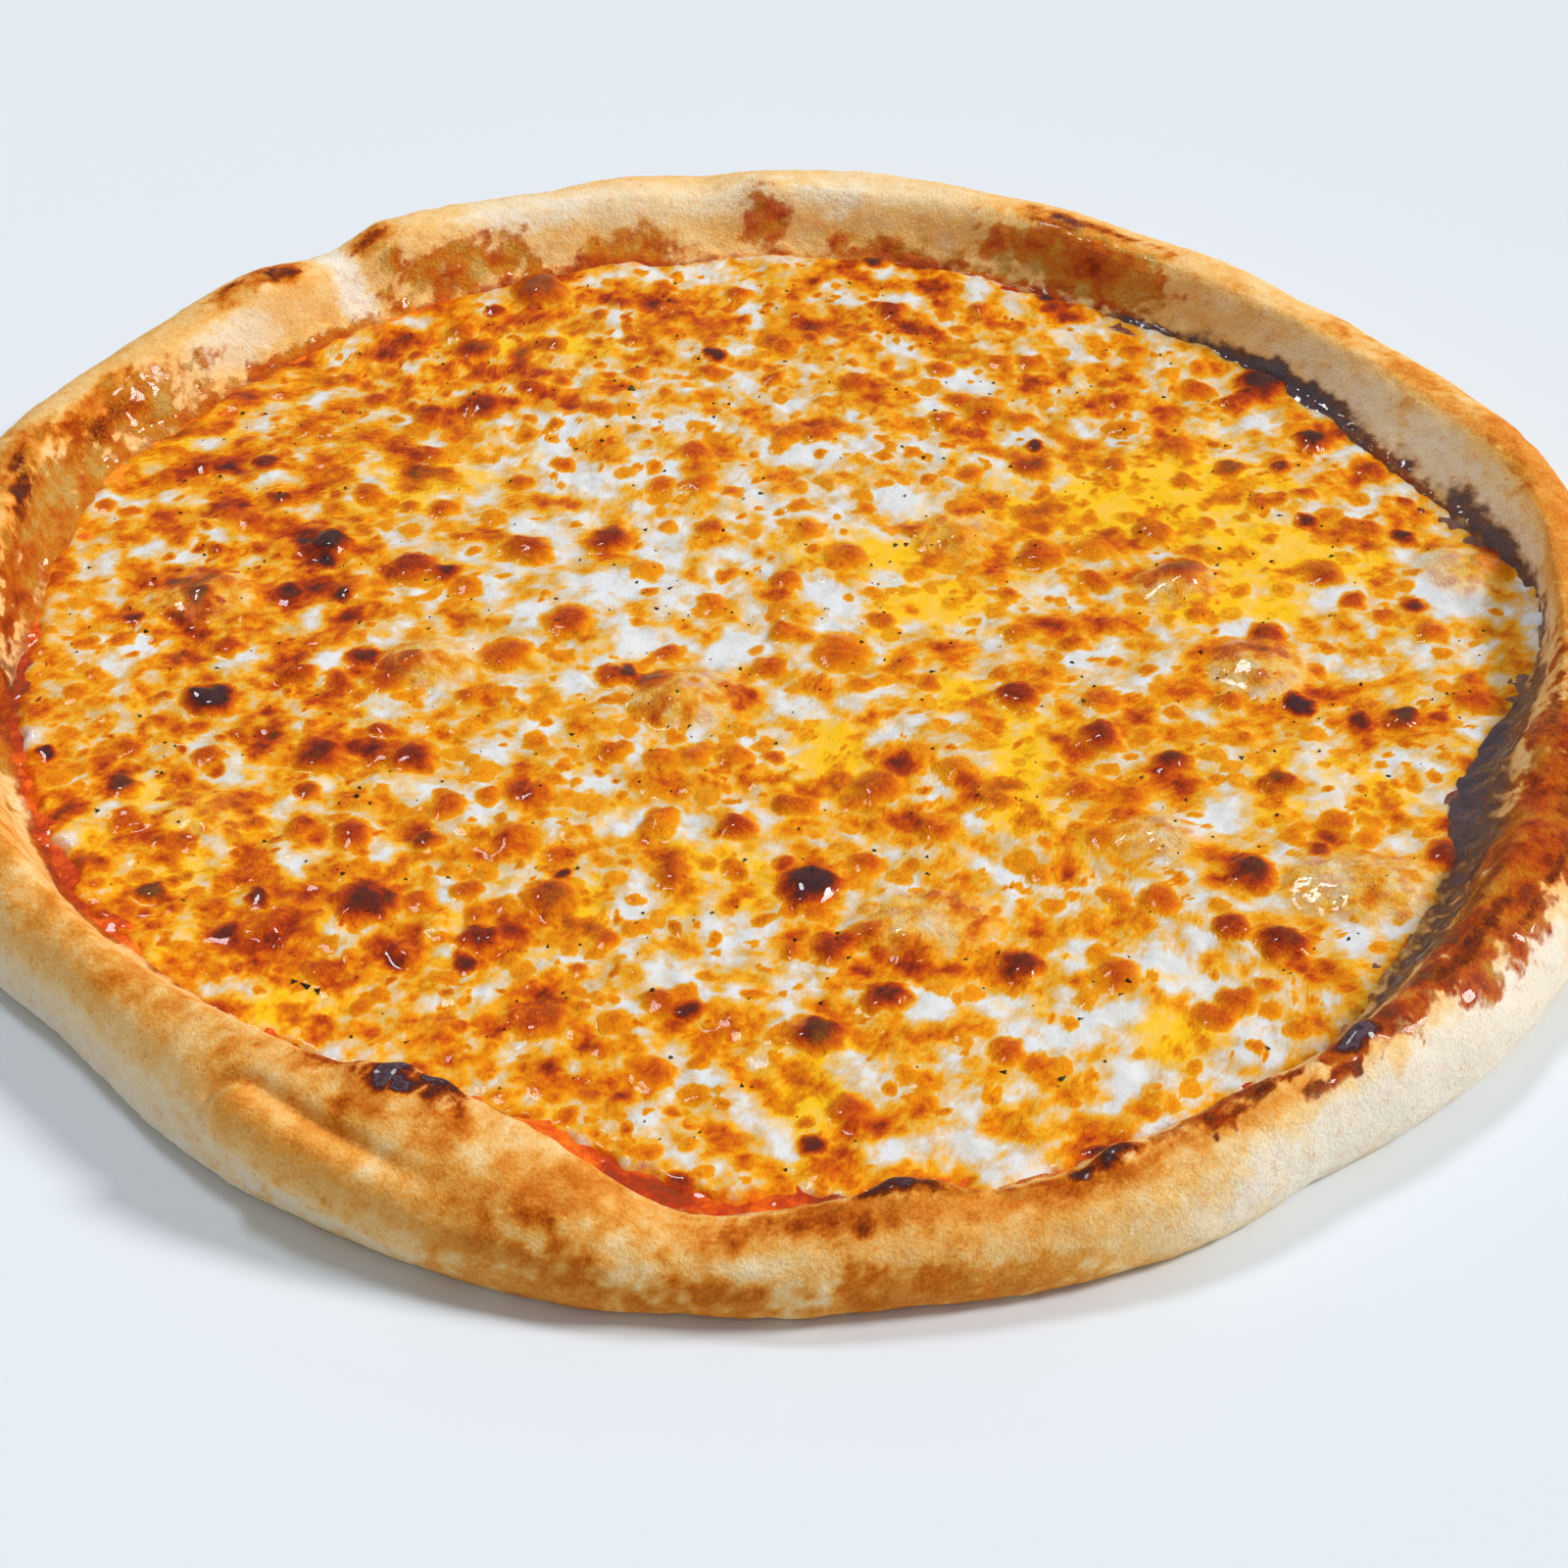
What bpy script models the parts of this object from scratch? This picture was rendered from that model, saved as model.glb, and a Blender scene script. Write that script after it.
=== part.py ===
"""Margherita pizza, baked whole: bread base with a raised rim, a film of tomato sauce, melted cheese.

The mesh is made in metres with +Z up. The origin is the middle of the flat underside.
A bearing is an angle in degrees round the pizza, counter-clockwise from +X seen from above.
A share says how far a point of the rim is from the underside (0) over the crest to the cheese (1).
"""
import math
import random

import bpy
import numpy as np
from mathutils import Vector
from mathutils import noise
from mathutils.geometry import delaunay_2d_cdt

MM = 0.001

# Driving dimensions
RADIUS = 155.4 * MM
RIM_HEIGHT = 18 * MM
CREST_RADIUS = 141 * MM
FOOT_RADIUS = 131 * MM
BASE_THICKNESS = 4 * MM
CHEESE_LEVEL = 8 * MM
CHEESE_BOTTOM = 5.6 * MM
SAUCE_BOTTOM = 4.3 * MM
SAUCE_TOP = 5.2 * MM
SAUCE_COLLAR = 6.9 * MM
SAUCE_WIDTH = 1.0 * MM
GAP = 0.5 * MM

# The hand-stretched rim departs from those sizes: (bearing, spread in degrees, millimetres)
OUTLINE = [(-137, 11, -5.2), (-101, 12, 2.8), (-84, 8, 1.2), (-70, 9, 1.9), (-56, 4, -1.0), (-40, 9, 0.8),
           (20, 12, 2.6), (50, 15, -2.8), (84, 6, 3.6), (99, 6, 3.0), (109, 4, -1.3),
           (127, 6, -1.0), (148, 6, -0.4), (160, 7, 3.0)]
HEIGHTS = [(-150, 12, 2.0), (-116, 16, 4.0), (-93, 7, -5.0), (-76, 11, -2.6), (-44, 20, 2.0),
           (128, 3, -1.4), (135, 4, 0.8), (121, 4, 0.8), (96, 3, -1.0), (88, 5, 1.4), (60, 20, 0.6)]
CRESTS = [(-150, 14, 2.5), (-108, 7, -3.0), (-93, 9, 6.0), (-76, 12, 5.5), (-54, 18, 5.0), (17, 12, 6.0),
          (54, 12, -3.0), (120, 26, 2.0), (160, 12, 6.0)]
FEET = [(-168, 14, 4.0), (-148, 10, 3.5), (-107, 6, -2.0), (-94, 8, 10.0), (-76, 12, 8.5), (-54, 12, 6.5),
        (-18, 10, -6.5), (5, 13, 9.5), (60, 10, -2.0), (98, 5, -2.0), (160, 14, 3.5)]
SAUCE_SHOWS = [(-172, 13, 2.5), (-150, 8, 2.0), (-117, 7, 3.0), (-97, 9, 5.5), (140, 16, 1.0)]

# Section of the rim: where it is widest and highest, and how the underside's edge tucks in
WIDEST_SHARE = 0.25
CREST_SHARE = 0.6
WIDEST_HEIGHT = 0.30
TUCK = 3.6 * MM
WALL_POWER = 0.85
WALL_FOOT_SLOPE = 2.5 * MM
SECTION_LENGTH = 52 * MM

# A fold of dough on the front left: its crease falls from near the crest to low on the outer wall
FOLD_BEARINGS = (-126, -97)
FOLD_SHARES = (0.56, 0.28)
FOLD_DEPTH = 0.9 * MM
FOLD_CREASE_WIDTH = 0.04
FOLD_BULGE = 2.0 * MM
FOLD_BULGE_DROP = 0.08
FOLD_BULGE_WIDTH = 0.06

# Unevenness of the dough: (waves per metre, rise in millimetres)
DOUGH_WAVES = [(24, 0.9), (60, 0.5)]

# Blisters of the rim: (bearing, share, size, rise in millimetres)
RIM_BLISTERS = [(-116, 0.68, 7, 1.8), (-49, 0.62, 5, 1.2), (-80, 0.76, 6, 1.2), (-65, 0.76, 5, 1.0),
                (-28, 0.62, 8, 1.4), (-16, 0.64, 9, 1.4), (5, 0.60, 8, 1.2), (91, 0.66, 5, 1.3),
                (122, 0.62, 8, 1.2), (134, 0.62, 9, 1.2), (172, 0.62, 9, 1.4)]

# Lumps of cheese that melted into low domes: (x, y, half length, half width, rise in millimetres)
MOUNDS = [(100, -66, 15, 10, 3.4), (88, -8, 10, 10, 3.0), (-14, -18, 11, 10, 3.0), (-60, -8, 10, 9, 2.6),
          (75, 17, 10, 8, 2.6), (27, -76, 14, 9, 2.4), (66, -54, 9, 7, 2.0), (-103, 10, 11, 9, 2.4),
          (128, 22, 9, 10, 2.4), (35, 32, 10, 8, 1.8), (-48, 116, 7, 6, 1.8), (-95, -52, 12, 9, 1.2)]

# The larger toasted blisters: (x, y, radius, rise in millimetres)
BLISTERS = [
    (-82, 26, 4.6, 1.9), (-30, 29, 4.6, 1.5), (-45, 26, 4.4, 1.5), (-66, 20, 5.2, 1.4), (-36, 4, 4.6, 1.4),
    (-15, 59, 4.2, 1.2), (-57, 74, 4.6, 1.2), (-98, -20, 5.0, 1.7), (-77, -35, 5.0, 1.4),
    (-61, -35, 4.4, 1.5), (-47, -6, 4.8, 1.3), (-69, -56, 3.8, 1.3), (-57, -57, 3.2, 1.3),
    (-65, -73, 5.8, 1.6), (-35, -71, 4.4, 1.5), (-46, -81, 4.0, 1.5), (-35, -101, 4.4, 1.2),
    (-17, -112, 4.2, 1.2), (-5, -53, 3.8, 1.4), (97, 85, 5.6, 2.0), (105, 64, 3.6, 1.7), (50, 54, 3.6, 1.4),
    (78, 62, 4.2, 1.2), (50, 26, 4.8, 1.3), (14, 25, 4.4, 1.2), (72, 34, 3.8, 1.2), (102, 21, 4.0, 1.3),
    (13, -4, 5.4, 1.2), (44, -16, 4.2, 1.5), (58, -27, 4.4, 1.9), (70, -34, 4.2, 1.6), (88, -39, 3.6, 1.6),
    (19, -42, 4.4, 1.4), (112, -21, 3.6, 1.5), (115, -58, 4.4, 1.4), (81, -63, 4.6, 1.8),
    (85, -80, 4.4, 1.7), (77, -76, 3.4, 1.3), (8, -68, 5.8, 2.0), (42, -86, 3.6, 1.5), (20, -94, 4.0, 1.6),
    (9, -103, 4.8, 1.5), (57, -89, 4.0, 1.2), (14, -120, 3.6, 1.2), (24, 109, 4.0, 1.2), (16, 83, 3.6, 1.1)]

# Smaller blisters fill the rest, by a rule with seeded draws
SMALL_BLISTERS = 70
SMALL_BLISTER_SIZES = (2.4, 3.4)
SMALL_BLISTER_RISE = 0.3
SMALL_BLISTER_SPACING = 11
SMALL_BLISTER_MARGIN = 7
SEED = 7

# Unevenness of the cheese: (waves per metre, rise in millimetres)
CHEESE_WAVES = [(45, 0.7)]

# Points of the meshes
STATIONS = 144
RIM_SHARES = (0, 0.08, 0.17, 0.25, 0.31, 0.37, 0.43, 0.49, 0.55, 0.6, 0.7, 0.8, 0.9, 1.0)
CHEESE_SPACING = 7.4 * MM
CHEESE_EDGE_MARGIN = 2.5 * MM
BLISTER_POINTS = 7
BLISTER_RINGS = (0.62, 1.02)


def clear_scene():
    """Remove every object that the file starts with."""
    for thing in list(bpy.data.objects):
        bpy.data.objects.remove(thing, do_unlink=True)


def turn_between(bearing, centre):
    """Signed angle in degrees from a centre to a bearing."""
    return (bearing - centre + 180) % 360 - 180


def departure(features, bearing):
    """Sum of the features' smooth bumps at a bearing, in metres."""
    return MM * sum(amount * np.exp(-(turn_between(bearing, centre) / spread) ** 2)
                    for centre, spread, amount in features)


def outer_radius(bearing):
    return RADIUS + departure(OUTLINE, bearing)


def rim_height(bearing):
    return RIM_HEIGHT + departure(HEIGHTS, bearing)


def crest_radius(bearing):
    return CREST_RADIUS + departure(CRESTS, bearing)


def foot_radius(bearing):
    """Where the rim's inner wall meets the level of the cheese."""
    return FOOT_RADIUS + departure(FEET, bearing)


def wall_radius(bearing, height):
    """Inner wall of the rim between its floor and the level of the cheese."""
    return foot_radius(bearing) - WALL_FOOT_SLOPE * (CHEESE_LEVEL - height) / (CHEESE_LEVEL - BASE_THICKNESS)


def cheese_radius(bearing):
    """Where the cheese ends, short of the wall by the sauce that shows."""
    return foot_radius(bearing) - SAUCE_WIDTH - 2 * GAP - departure(SAUCE_SHOWS, bearing)


def place(bearing, radius, height):
    """Points as rows of x, y, z."""
    angle = np.radians(bearing)
    flat = radius * np.cos(angle), radius * np.sin(angle)
    return np.stack(np.broadcast_arrays(*flat, height), axis=-1)


def waves(points, layers):
    """Smooth unevenness at each point, in metres."""
    rise = np.zeros(len(points))
    for frequency, amount in layers:
        rise += amount * MM * np.array([noise.noise(Vector(point) * frequency) for point in points])
    return rise


def rim_point(bearing, share):
    """Radius and height of the rim's plain section."""
    outer, height = outer_radius(bearing), rim_height(bearing)
    crest, foot = crest_radius(bearing), foot_radius(bearing)
    widest = WIDEST_HEIGHT * height
    low = np.clip(share / WIDEST_SHARE, 0, 1) * math.pi / 2
    high = np.clip((share - WIDEST_SHARE) / (CREST_SHARE - WIDEST_SHARE), 0, 1) * math.pi / 2
    inward = np.clip((share - CREST_SHARE) / (1 - CREST_SHARE), 0, 1)
    out = np.clip(np.cos(high), 0, 1) ** WALL_POWER
    up = np.clip(np.sin(high), 0, 1) ** WALL_POWER
    drop = 0.5 - 0.5 * np.cos(math.pi * inward)
    radius = crest + (outer - crest) * out - TUCK * (1 - np.sin(low)) + (foot - crest) * inward
    level = widest * (1 - np.cos(low)) + (height - widest) * up + (CHEESE_LEVEL - height) * drop
    return radius, level


def fold_relief(bearing, share):
    """Outward push of the fold of dough: a bulge under a crease."""
    start, end = FOLD_BEARINGS
    along = np.clip((bearing - start) / (end - start), 0, 1)
    crease = FOLD_SHARES[0] + (FOLD_SHARES[1] - FOLD_SHARES[0]) * along
    groove = FOLD_DEPTH * np.exp(-((share - crease) / FOLD_CREASE_WIDTH) ** 2)
    bulge = FOLD_BULGE * np.exp(-((share - crease + FOLD_BULGE_DROP) / FOLD_BULGE_WIDTH) ** 2)
    return np.sin(math.pi * along) ** 0.5 * (bulge - groove)


def rim_blister_relief(bearing, share):
    """Outward push of the rim's blisters."""
    rise = 0.0
    for centre, where, size, amount in RIM_BLISTERS:
        across = np.radians(turn_between(bearing, centre)) * CREST_RADIUS / (size * MM)
        over = (share - where) * SECTION_LENGTH / (size * MM)
        rise = rise + amount * MM * np.exp(-across ** 2 - over ** 2)
    return rise


def rim_surface(bearing, share):
    """Points of the rim, pushed outward by all its relief."""
    radius, height = rim_point(bearing, share)
    before = rim_point(bearing, share - 0.01)
    after = rim_point(bearing, share + 0.01)
    run, climb = after[0] - before[0], after[1] - before[1]
    length = np.hypot(run, climb)
    fade = np.clip(share / 0.1, 0, 1) * np.clip((1 - share) / 0.1, 0, 1)
    push = waves(place(bearing, radius, height), DOUGH_WAVES)
    push = fade * (push + fold_relief(bearing, share) + rim_blister_relief(bearing, share))
    return place(bearing, radius + push * climb / length, height - push * run / length)


def lathe(rings):
    """Points and faces of a closed body from rings of points, each end closed by a fan round its middle."""
    count = len(rings)
    points = np.stack(rings, axis=1).reshape(-1, 3)
    middles = [(0, 0, rings[0][0, 2]), (0, 0, rings[-1][0, 2])]
    first, last = len(points), len(points) + 1
    faces = []
    for station in range(STATIONS):
        here = station * count
        after = (station + 1) % STATIONS * count
        for ring in range(count - 1):
            faces.append((here + ring, after + ring, after + ring + 1, here + ring + 1))
        faces.append((after, here, first))
        faces.append((here + count - 1, after + count - 1, last))
    return np.vstack([points, middles]), faces


def station_bearings():
    return np.arange(STATIONS) * 360 / STATIONS - 180


def crust_mesh():
    """The bread: underside, outer wall, crest, inner wall and the floor under the sauce."""
    bearing = station_bearings()
    rings = [rim_surface(bearing, np.full(STATIONS, float(share))) for share in RIM_SHARES]
    rings.append(place(bearing, wall_radius(bearing, BASE_THICKNESS), BASE_THICKNESS))
    return lathe(rings)


def sauce_mesh():
    """The sauce: a film under the cheese with a collar that shows between cheese and rim."""
    bearing = station_bearings()
    inner = cheese_radius(bearing) + GAP
    rings = [place(bearing, wall_radius(bearing, SAUCE_BOTTOM) - GAP, SAUCE_BOTTOM),
             place(bearing, wall_radius(bearing, SAUCE_COLLAR) - GAP, SAUCE_COLLAR),
             place(bearing, inner, SAUCE_COLLAR),
             place(bearing, inner - 0.1 * MM, SAUCE_TOP)]
    return lathe(rings)


def scatter_small_blisters():
    """The smaller blisters, clear of the larger ones and of each other."""
    draws = random.Random(SEED)
    placed = [(x, y) for x, y, radius, rise in BLISTERS]
    small = []
    while len(small) < SMALL_BLISTERS:
        bearing = draws.uniform(-180, 180)
        reach = math.sqrt(draws.uniform(0, 1)) * (cheese_radius(bearing) / MM - SMALL_BLISTER_MARGIN)
        size = draws.uniform(*SMALL_BLISTER_SIZES)
        x = reach * math.cos(math.radians(bearing))
        y = reach * math.sin(math.radians(bearing))
        if all(math.hypot(x - a, y - b) > SMALL_BLISTER_SPACING for a, b in placed):
            placed.append((x, y))
            small.append((x, y, size, SMALL_BLISTER_RISE * size))
    return small


def cheese_height(flat, blisters):
    """Height of the cheese's upper face at flat points, rows of x and y."""
    height = CHEESE_LEVEL + waves([(x, y, 0) for x, y in flat], CHEESE_WAVES)
    x, y = flat.T / MM
    for centre_x, centre_y, long, wide, rise in MOUNDS:
        away = ((x - centre_x) / long) ** 2 + ((y - centre_y) / wide) ** 2
        height += rise * MM * np.clip(1 - away, 0, 1) ** 1.3
    for centre_x, centre_y, radius, rise in blisters:
        away = ((x - centre_x) ** 2 + (y - centre_y) ** 2) / radius ** 2
        height += rise * MM * np.clip(1 - away, 0, 1) ** 0.8
    return height


def cheese_points(blisters):
    """Flat points inside the cheese: rings round each blister, and an even field between them."""
    points = []
    for x, y, radius, rise in blisters:
        points.append((x * MM, y * MM))
        for share in BLISTER_RINGS:
            for step in range(BLISTER_POINTS):
                turn = 2 * math.pi * (step + share) / BLISTER_POINTS
                reach = share * radius
                points.append(((x + reach * math.cos(turn)) * MM, (y + reach * math.sin(turn)) * MM))
    row_height = CHEESE_SPACING * math.sqrt(3) / 2
    rows = int(RADIUS / row_height)
    for row in range(-rows, rows + 1):
        for column in range(-rows, rows + 1):
            x = (column + 0.5 * (row % 2)) * CHEESE_SPACING
            y = row * row_height
            if all(math.hypot(x - a * MM, y - b * MM) > radius * MM + 0.4 * CHEESE_SPACING
                   for a, b, radius, rise in blisters):
                points.append((x, y))
    points = np.array(points)
    bearing = np.degrees(np.arctan2(points[:, 1], points[:, 0]))
    inside = np.hypot(*points.T) < cheese_radius(bearing) - CHEESE_EDGE_MARGIN
    return points[inside]


def cheese_mesh():
    """The melted cheese: a flat bottom on the sauce and an upper face of mounds and blisters."""
    blisters = BLISTERS + scatter_small_blisters()
    bearing = station_bearings()
    edge = place(bearing, cheese_radius(bearing), CHEESE_BOTTOM)
    flat = [Vector(point) for point in edge[:, :2]] + [Vector(point) for point in cheese_points(blisters)]
    boundary = list(range(STATIONS))
    found, _, triangles, _, _, _ = delaunay_2d_cdt(flat, [], [boundary], 1, 0.01 * MM)
    found = np.array([point[:] for point in found])
    top = np.column_stack([found, cheese_height(found, blisters)])
    lowest = len(top)
    middle = lowest + STATIONS
    faces = [list(triangle) for triangle in triangles]
    for station in range(STATIONS):
        after = (station + 1) % STATIONS
        faces.append((station, lowest + station, lowest + after, after))
        faces.append((lowest + after, lowest + station, middle))
    return np.vstack([top, edge, [(0, 0, CHEESE_BOTTOM)]]), faces


def material(name, colour, roughness):
    """A Principled material."""
    made = bpy.data.materials.new(name)
    made.use_nodes = True
    shader = made.node_tree.nodes["Principled BSDF"]
    shader.inputs["Base Color"].default_value = (*colour, 1)
    shader.inputs["Roughness"].default_value = roughness
    shader.inputs["Metallic"].default_value = 0.0
    return made


def add_piece(name, points, faces, finish):
    """One named object, shaded smooth but for its sharp corners."""
    mesh = bpy.data.meshes.new(name)
    mesh.from_pydata(points.tolist(), [], faces)
    mesh.materials.append(finish)
    mesh.shade_smooth()
    mesh.set_sharp_from_angle(angle=math.radians(50))
    piece = bpy.data.objects.new(name, mesh)
    bpy.context.scene.collection.objects.link(piece)
    return piece


def build():
    """Make the three pieces, moved so that the crust's box is centred on the origin."""
    clear_scene()
    crust, crust_faces = crust_mesh()
    sauce, sauce_faces = sauce_mesh()
    cheese, cheese_faces = cheese_mesh()
    middle = (crust.min(axis=0) + crust.max(axis=0)) / 2 * (1, 1, 0)
    add_piece("crust", crust - middle, crust_faces, material("baked_dough", (0.74, 0.46, 0.18), 0.7))
    add_piece("sauce", sauce - middle, sauce_faces, material("tomato_sauce", (0.50, 0.07, 0.02), 0.35))
    add_piece("cheese", cheese - middle, cheese_faces, material("melted_cheese", (0.86, 0.58, 0.20), 0.35))


build()
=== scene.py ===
"""Looks of the margherita pizza: bread, sauce, cheese and herbs as fine meshes, floor, light and camera.

Meshes are in metres with +Z up; the lists give millimetres from the middle of the pizza.
A bearing is an angle in degrees round the pizza, counter-clockwise from +X seen from above.
A share says how far a point of the rim is from the underside (0) over the crest to the cheese (1).
"""

import math
import random

import bpy
import numpy as np
from mathutils import Matrix, Vector, noise


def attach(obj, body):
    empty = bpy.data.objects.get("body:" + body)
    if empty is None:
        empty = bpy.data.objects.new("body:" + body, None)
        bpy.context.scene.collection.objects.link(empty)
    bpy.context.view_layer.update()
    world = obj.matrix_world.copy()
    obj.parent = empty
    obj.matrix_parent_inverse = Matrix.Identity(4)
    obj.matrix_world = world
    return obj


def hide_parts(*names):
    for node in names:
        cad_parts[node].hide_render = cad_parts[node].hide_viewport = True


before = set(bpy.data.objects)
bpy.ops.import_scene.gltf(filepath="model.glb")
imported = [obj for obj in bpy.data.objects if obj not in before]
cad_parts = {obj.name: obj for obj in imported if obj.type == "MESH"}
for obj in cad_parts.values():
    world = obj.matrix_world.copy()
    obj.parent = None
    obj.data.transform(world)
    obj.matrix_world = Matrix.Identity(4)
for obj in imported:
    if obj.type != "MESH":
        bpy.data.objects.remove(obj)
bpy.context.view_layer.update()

MM = 0.001

# Main sizes of the pizza
RADIUS = 155.4 * MM
RIM_HEIGHT = 18 * MM
CREST_RADIUS = 141 * MM
FOOT_RADIUS = 131 * MM
BASE_THICKNESS = 4 * MM
CHEESE_LEVEL = 8 * MM
CHEESE_BOTTOM = 5.5 * MM
SAUCE_BOTTOM = 4.3 * MM
SAUCE_LEVEL = 7.4 * MM
SAUCE_WIDTH = 1.0 * MM

# Hidden edges of the sauce: in the wall, and under the cheese where it dips from a share of its width
SAUCE_INTO_WALL = 1.5 * MM
SAUCE_WALL_GAP = 0.3 * MM
SAUCE_UNDER_CHEESE = 4 * MM
SAUCE_DIP = 1.3 * MM
SAUCE_DIP_START = 0.75
SAUCE_END_STEP = 1 * MM
SAUCE_END_LEVEL = 5.2 * MM

# Edge of the cheese: it runs over the sauce, climbs the wall, and is ragged, with a scale in waves per
# metre, and thin, over a width in millimetres
CHEESE_OVERLAP = 2.6 * MM
CHEESE_CLIMB = 2.2 * MM
CHEESE_INTO_WALL = 0.6 * MM
CHEESE_RAGGED = 1.9 * MM
CHEESE_RAGGED_SCALE = 70
CHEESE_EDGE_DROP = 1.9 * MM
CHEESE_EDGE_WIDTH = 3.2

# The hand-stretched rim departs from those sizes: (bearing, spread in degrees, millimetres)
OUTLINE = [(-137, 11, -5.2), (-101, 12, 2.8), (-84, 8, 1.2), (-70, 9, 1.9), (-56, 4, -1.0), (-40, 9, 0.8),
           (20, 12, 2.6), (50, 15, -2.8), (84, 6, 3.6), (99, 6, 3.0), (109, 4, -1.3),
           (127, 6, -1.0), (148, 6, -0.4), (160, 7, 3.0)]
HEIGHTS = [(-150, 12, 2.0), (-116, 16, 4.0), (-93, 7, -5.0), (-76, 11, -2.6), (-44, 20, 2.0),
           (128, 3, -1.4), (135, 4, 0.8), (121, 4, 0.8), (96, 3, -1.0), (88, 5, 1.4), (60, 20, 0.6)]
CRESTS = [(-150, 14, 2.5), (-108, 7, -3.0), (-93, 9, 6.0), (-76, 12, 5.5), (-54, 18, 5.0), (17, 12, 6.0),
          (54, 12, -3.0), (120, 26, 2.0), (160, 12, 6.0)]
FEET = [(-168, 14, 4.0), (-148, 10, 3.5), (-107, 6, -2.0), (-94, 8, 10.0), (-76, 12, 8.5), (-54, 12, 6.5),
        (-18, 10, -6.5), (5, 13, 9.5), (60, 10, -2.0), (98, 5, -2.0), (160, 14, 3.5)]
SAUCE_SHOWS = [(-172, 13, 2.5), (-150, 8, 2.0), (-117, 7, 3.0), (-97, 9, 5.5), (140, 16, 1.0)]

# Section of the rim, and the fold of dough on the front left
WIDEST_SHARE = 0.25
CREST_SHARE = 0.6
WIDEST_HEIGHT = 0.30
TUCK = 3.6 * MM
WALL_POWER = 0.85
WALL_FOOT_SLOPE = 2.5 * MM
SECTION_LENGTH = 52 * MM
SLOPE_STEP = 0.01
RELIEF_FADE = 0.1
FOLD_TIP = (-121.2, 0.385)
FOLD_END = (-103, 0.27)
FOLD_BULGE = 2.4 * MM
FOLD_HALF_WIDTH = 4.4 * MM
FOLD_FADE = (0.2, 0.95)
FOLD_CREASE = 1.6 * MM
FOLD_CREASE_WIDTH = 1.5 * MM
FOLD_CREASE_PLACE = 1.25 * FOLD_HALF_WIDTH
FOLD_CREASE_SLANT = 16 * MM
FOLD_CREASE_START = (-8 * MM, 1 * MM)
FOLD_CREASE_FADE = (0.5, 1.1)

# Unevenness: (waves per metre, rise in millimetres)
DOUGH_WAVES = [(24, 0.9), (60, 0.5)]
SKIN_WAVES = [(150, 0.28), (420, 0.18), (1100, 0.08)]
WET_WALL_WAVES = [(130, 0.7), (300, 0.5), (620, 0.32)]
WET_WALL_SHARES = (0.78, 0.92)
WET_PATCH_RELIEF = 0.5
CHEESE_WAVES = [(45, 0.7)]
CLOT_WAVES = [(120, 0.7), (290, 0.5), (560, 0.22)]
SAUCE_WAVES = [(140, 0.8), (380, 0.5)]

# Octaves of the uneven patches of colour
OCTAVE_FINER = 2.3
OCTAVE_FAINTER = 0.62
OCTAVE_SHIFT = 17.3
NOISE_REACH = 1.3

# Blisters of the rim: (bearing, share, size, rise in millimetres)
RIM_BLISTERS = [(-113, 0.64, 4.5, 2.8), (-110, 0.62, 3, 1.6), (-115.5, 0.62, 2.5, 1.2),
                (-51, 0.60, 3.4, 2.0), (-53, 0.55, 2.5, 1.0), (-81.5, 0.66, 5, 2.6), (-79, 0.64, 3, 1.2),
                (-69, 0.62, 3.4, 1.8), (-28, 0.62, 8, 1.4), (-16, 0.64, 9, 1.4), (5, 0.60, 8, 1.2),
                (91, 0.66, 5, 1.3), (124, 0.60, 8, 1.2), (135, 0.58, 9, 1.2), (172, 0.62, 9, 1.4),
                (41, 0.96, 5, 1.8), (157, 0.76, 8, 1.2), (165, 0.82, 5, 1.0), (150, 0.84, 5, 1.0),
                (62, 0.72, 6, 1.0), (56, 0.80, 5, 1.0)]

# Lumps of cheese that melted into low domes: (x, y, half length, half width, rise in millimetres)
MOUNDS = [(100, -66, 15, 10, 3.4), (88, -8, 10, 10, 3.0), (-14, -18, 11, 10, 3.0), (-60, -8, 10, 9, 2.6),
          (75, 17, 10, 8, 2.6), (27, -76, 14, 9, 2.4), (66, -54, 9, 7, 2.0), (-103, 10, 11, 9, 2.4),
          (128, 22, 9, 10, 2.4), (35, 32, 10, 8, 1.8), (-48, 116, 7, 6, 1.8), (-95, -52, 12, 9, 1.2)]

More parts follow.
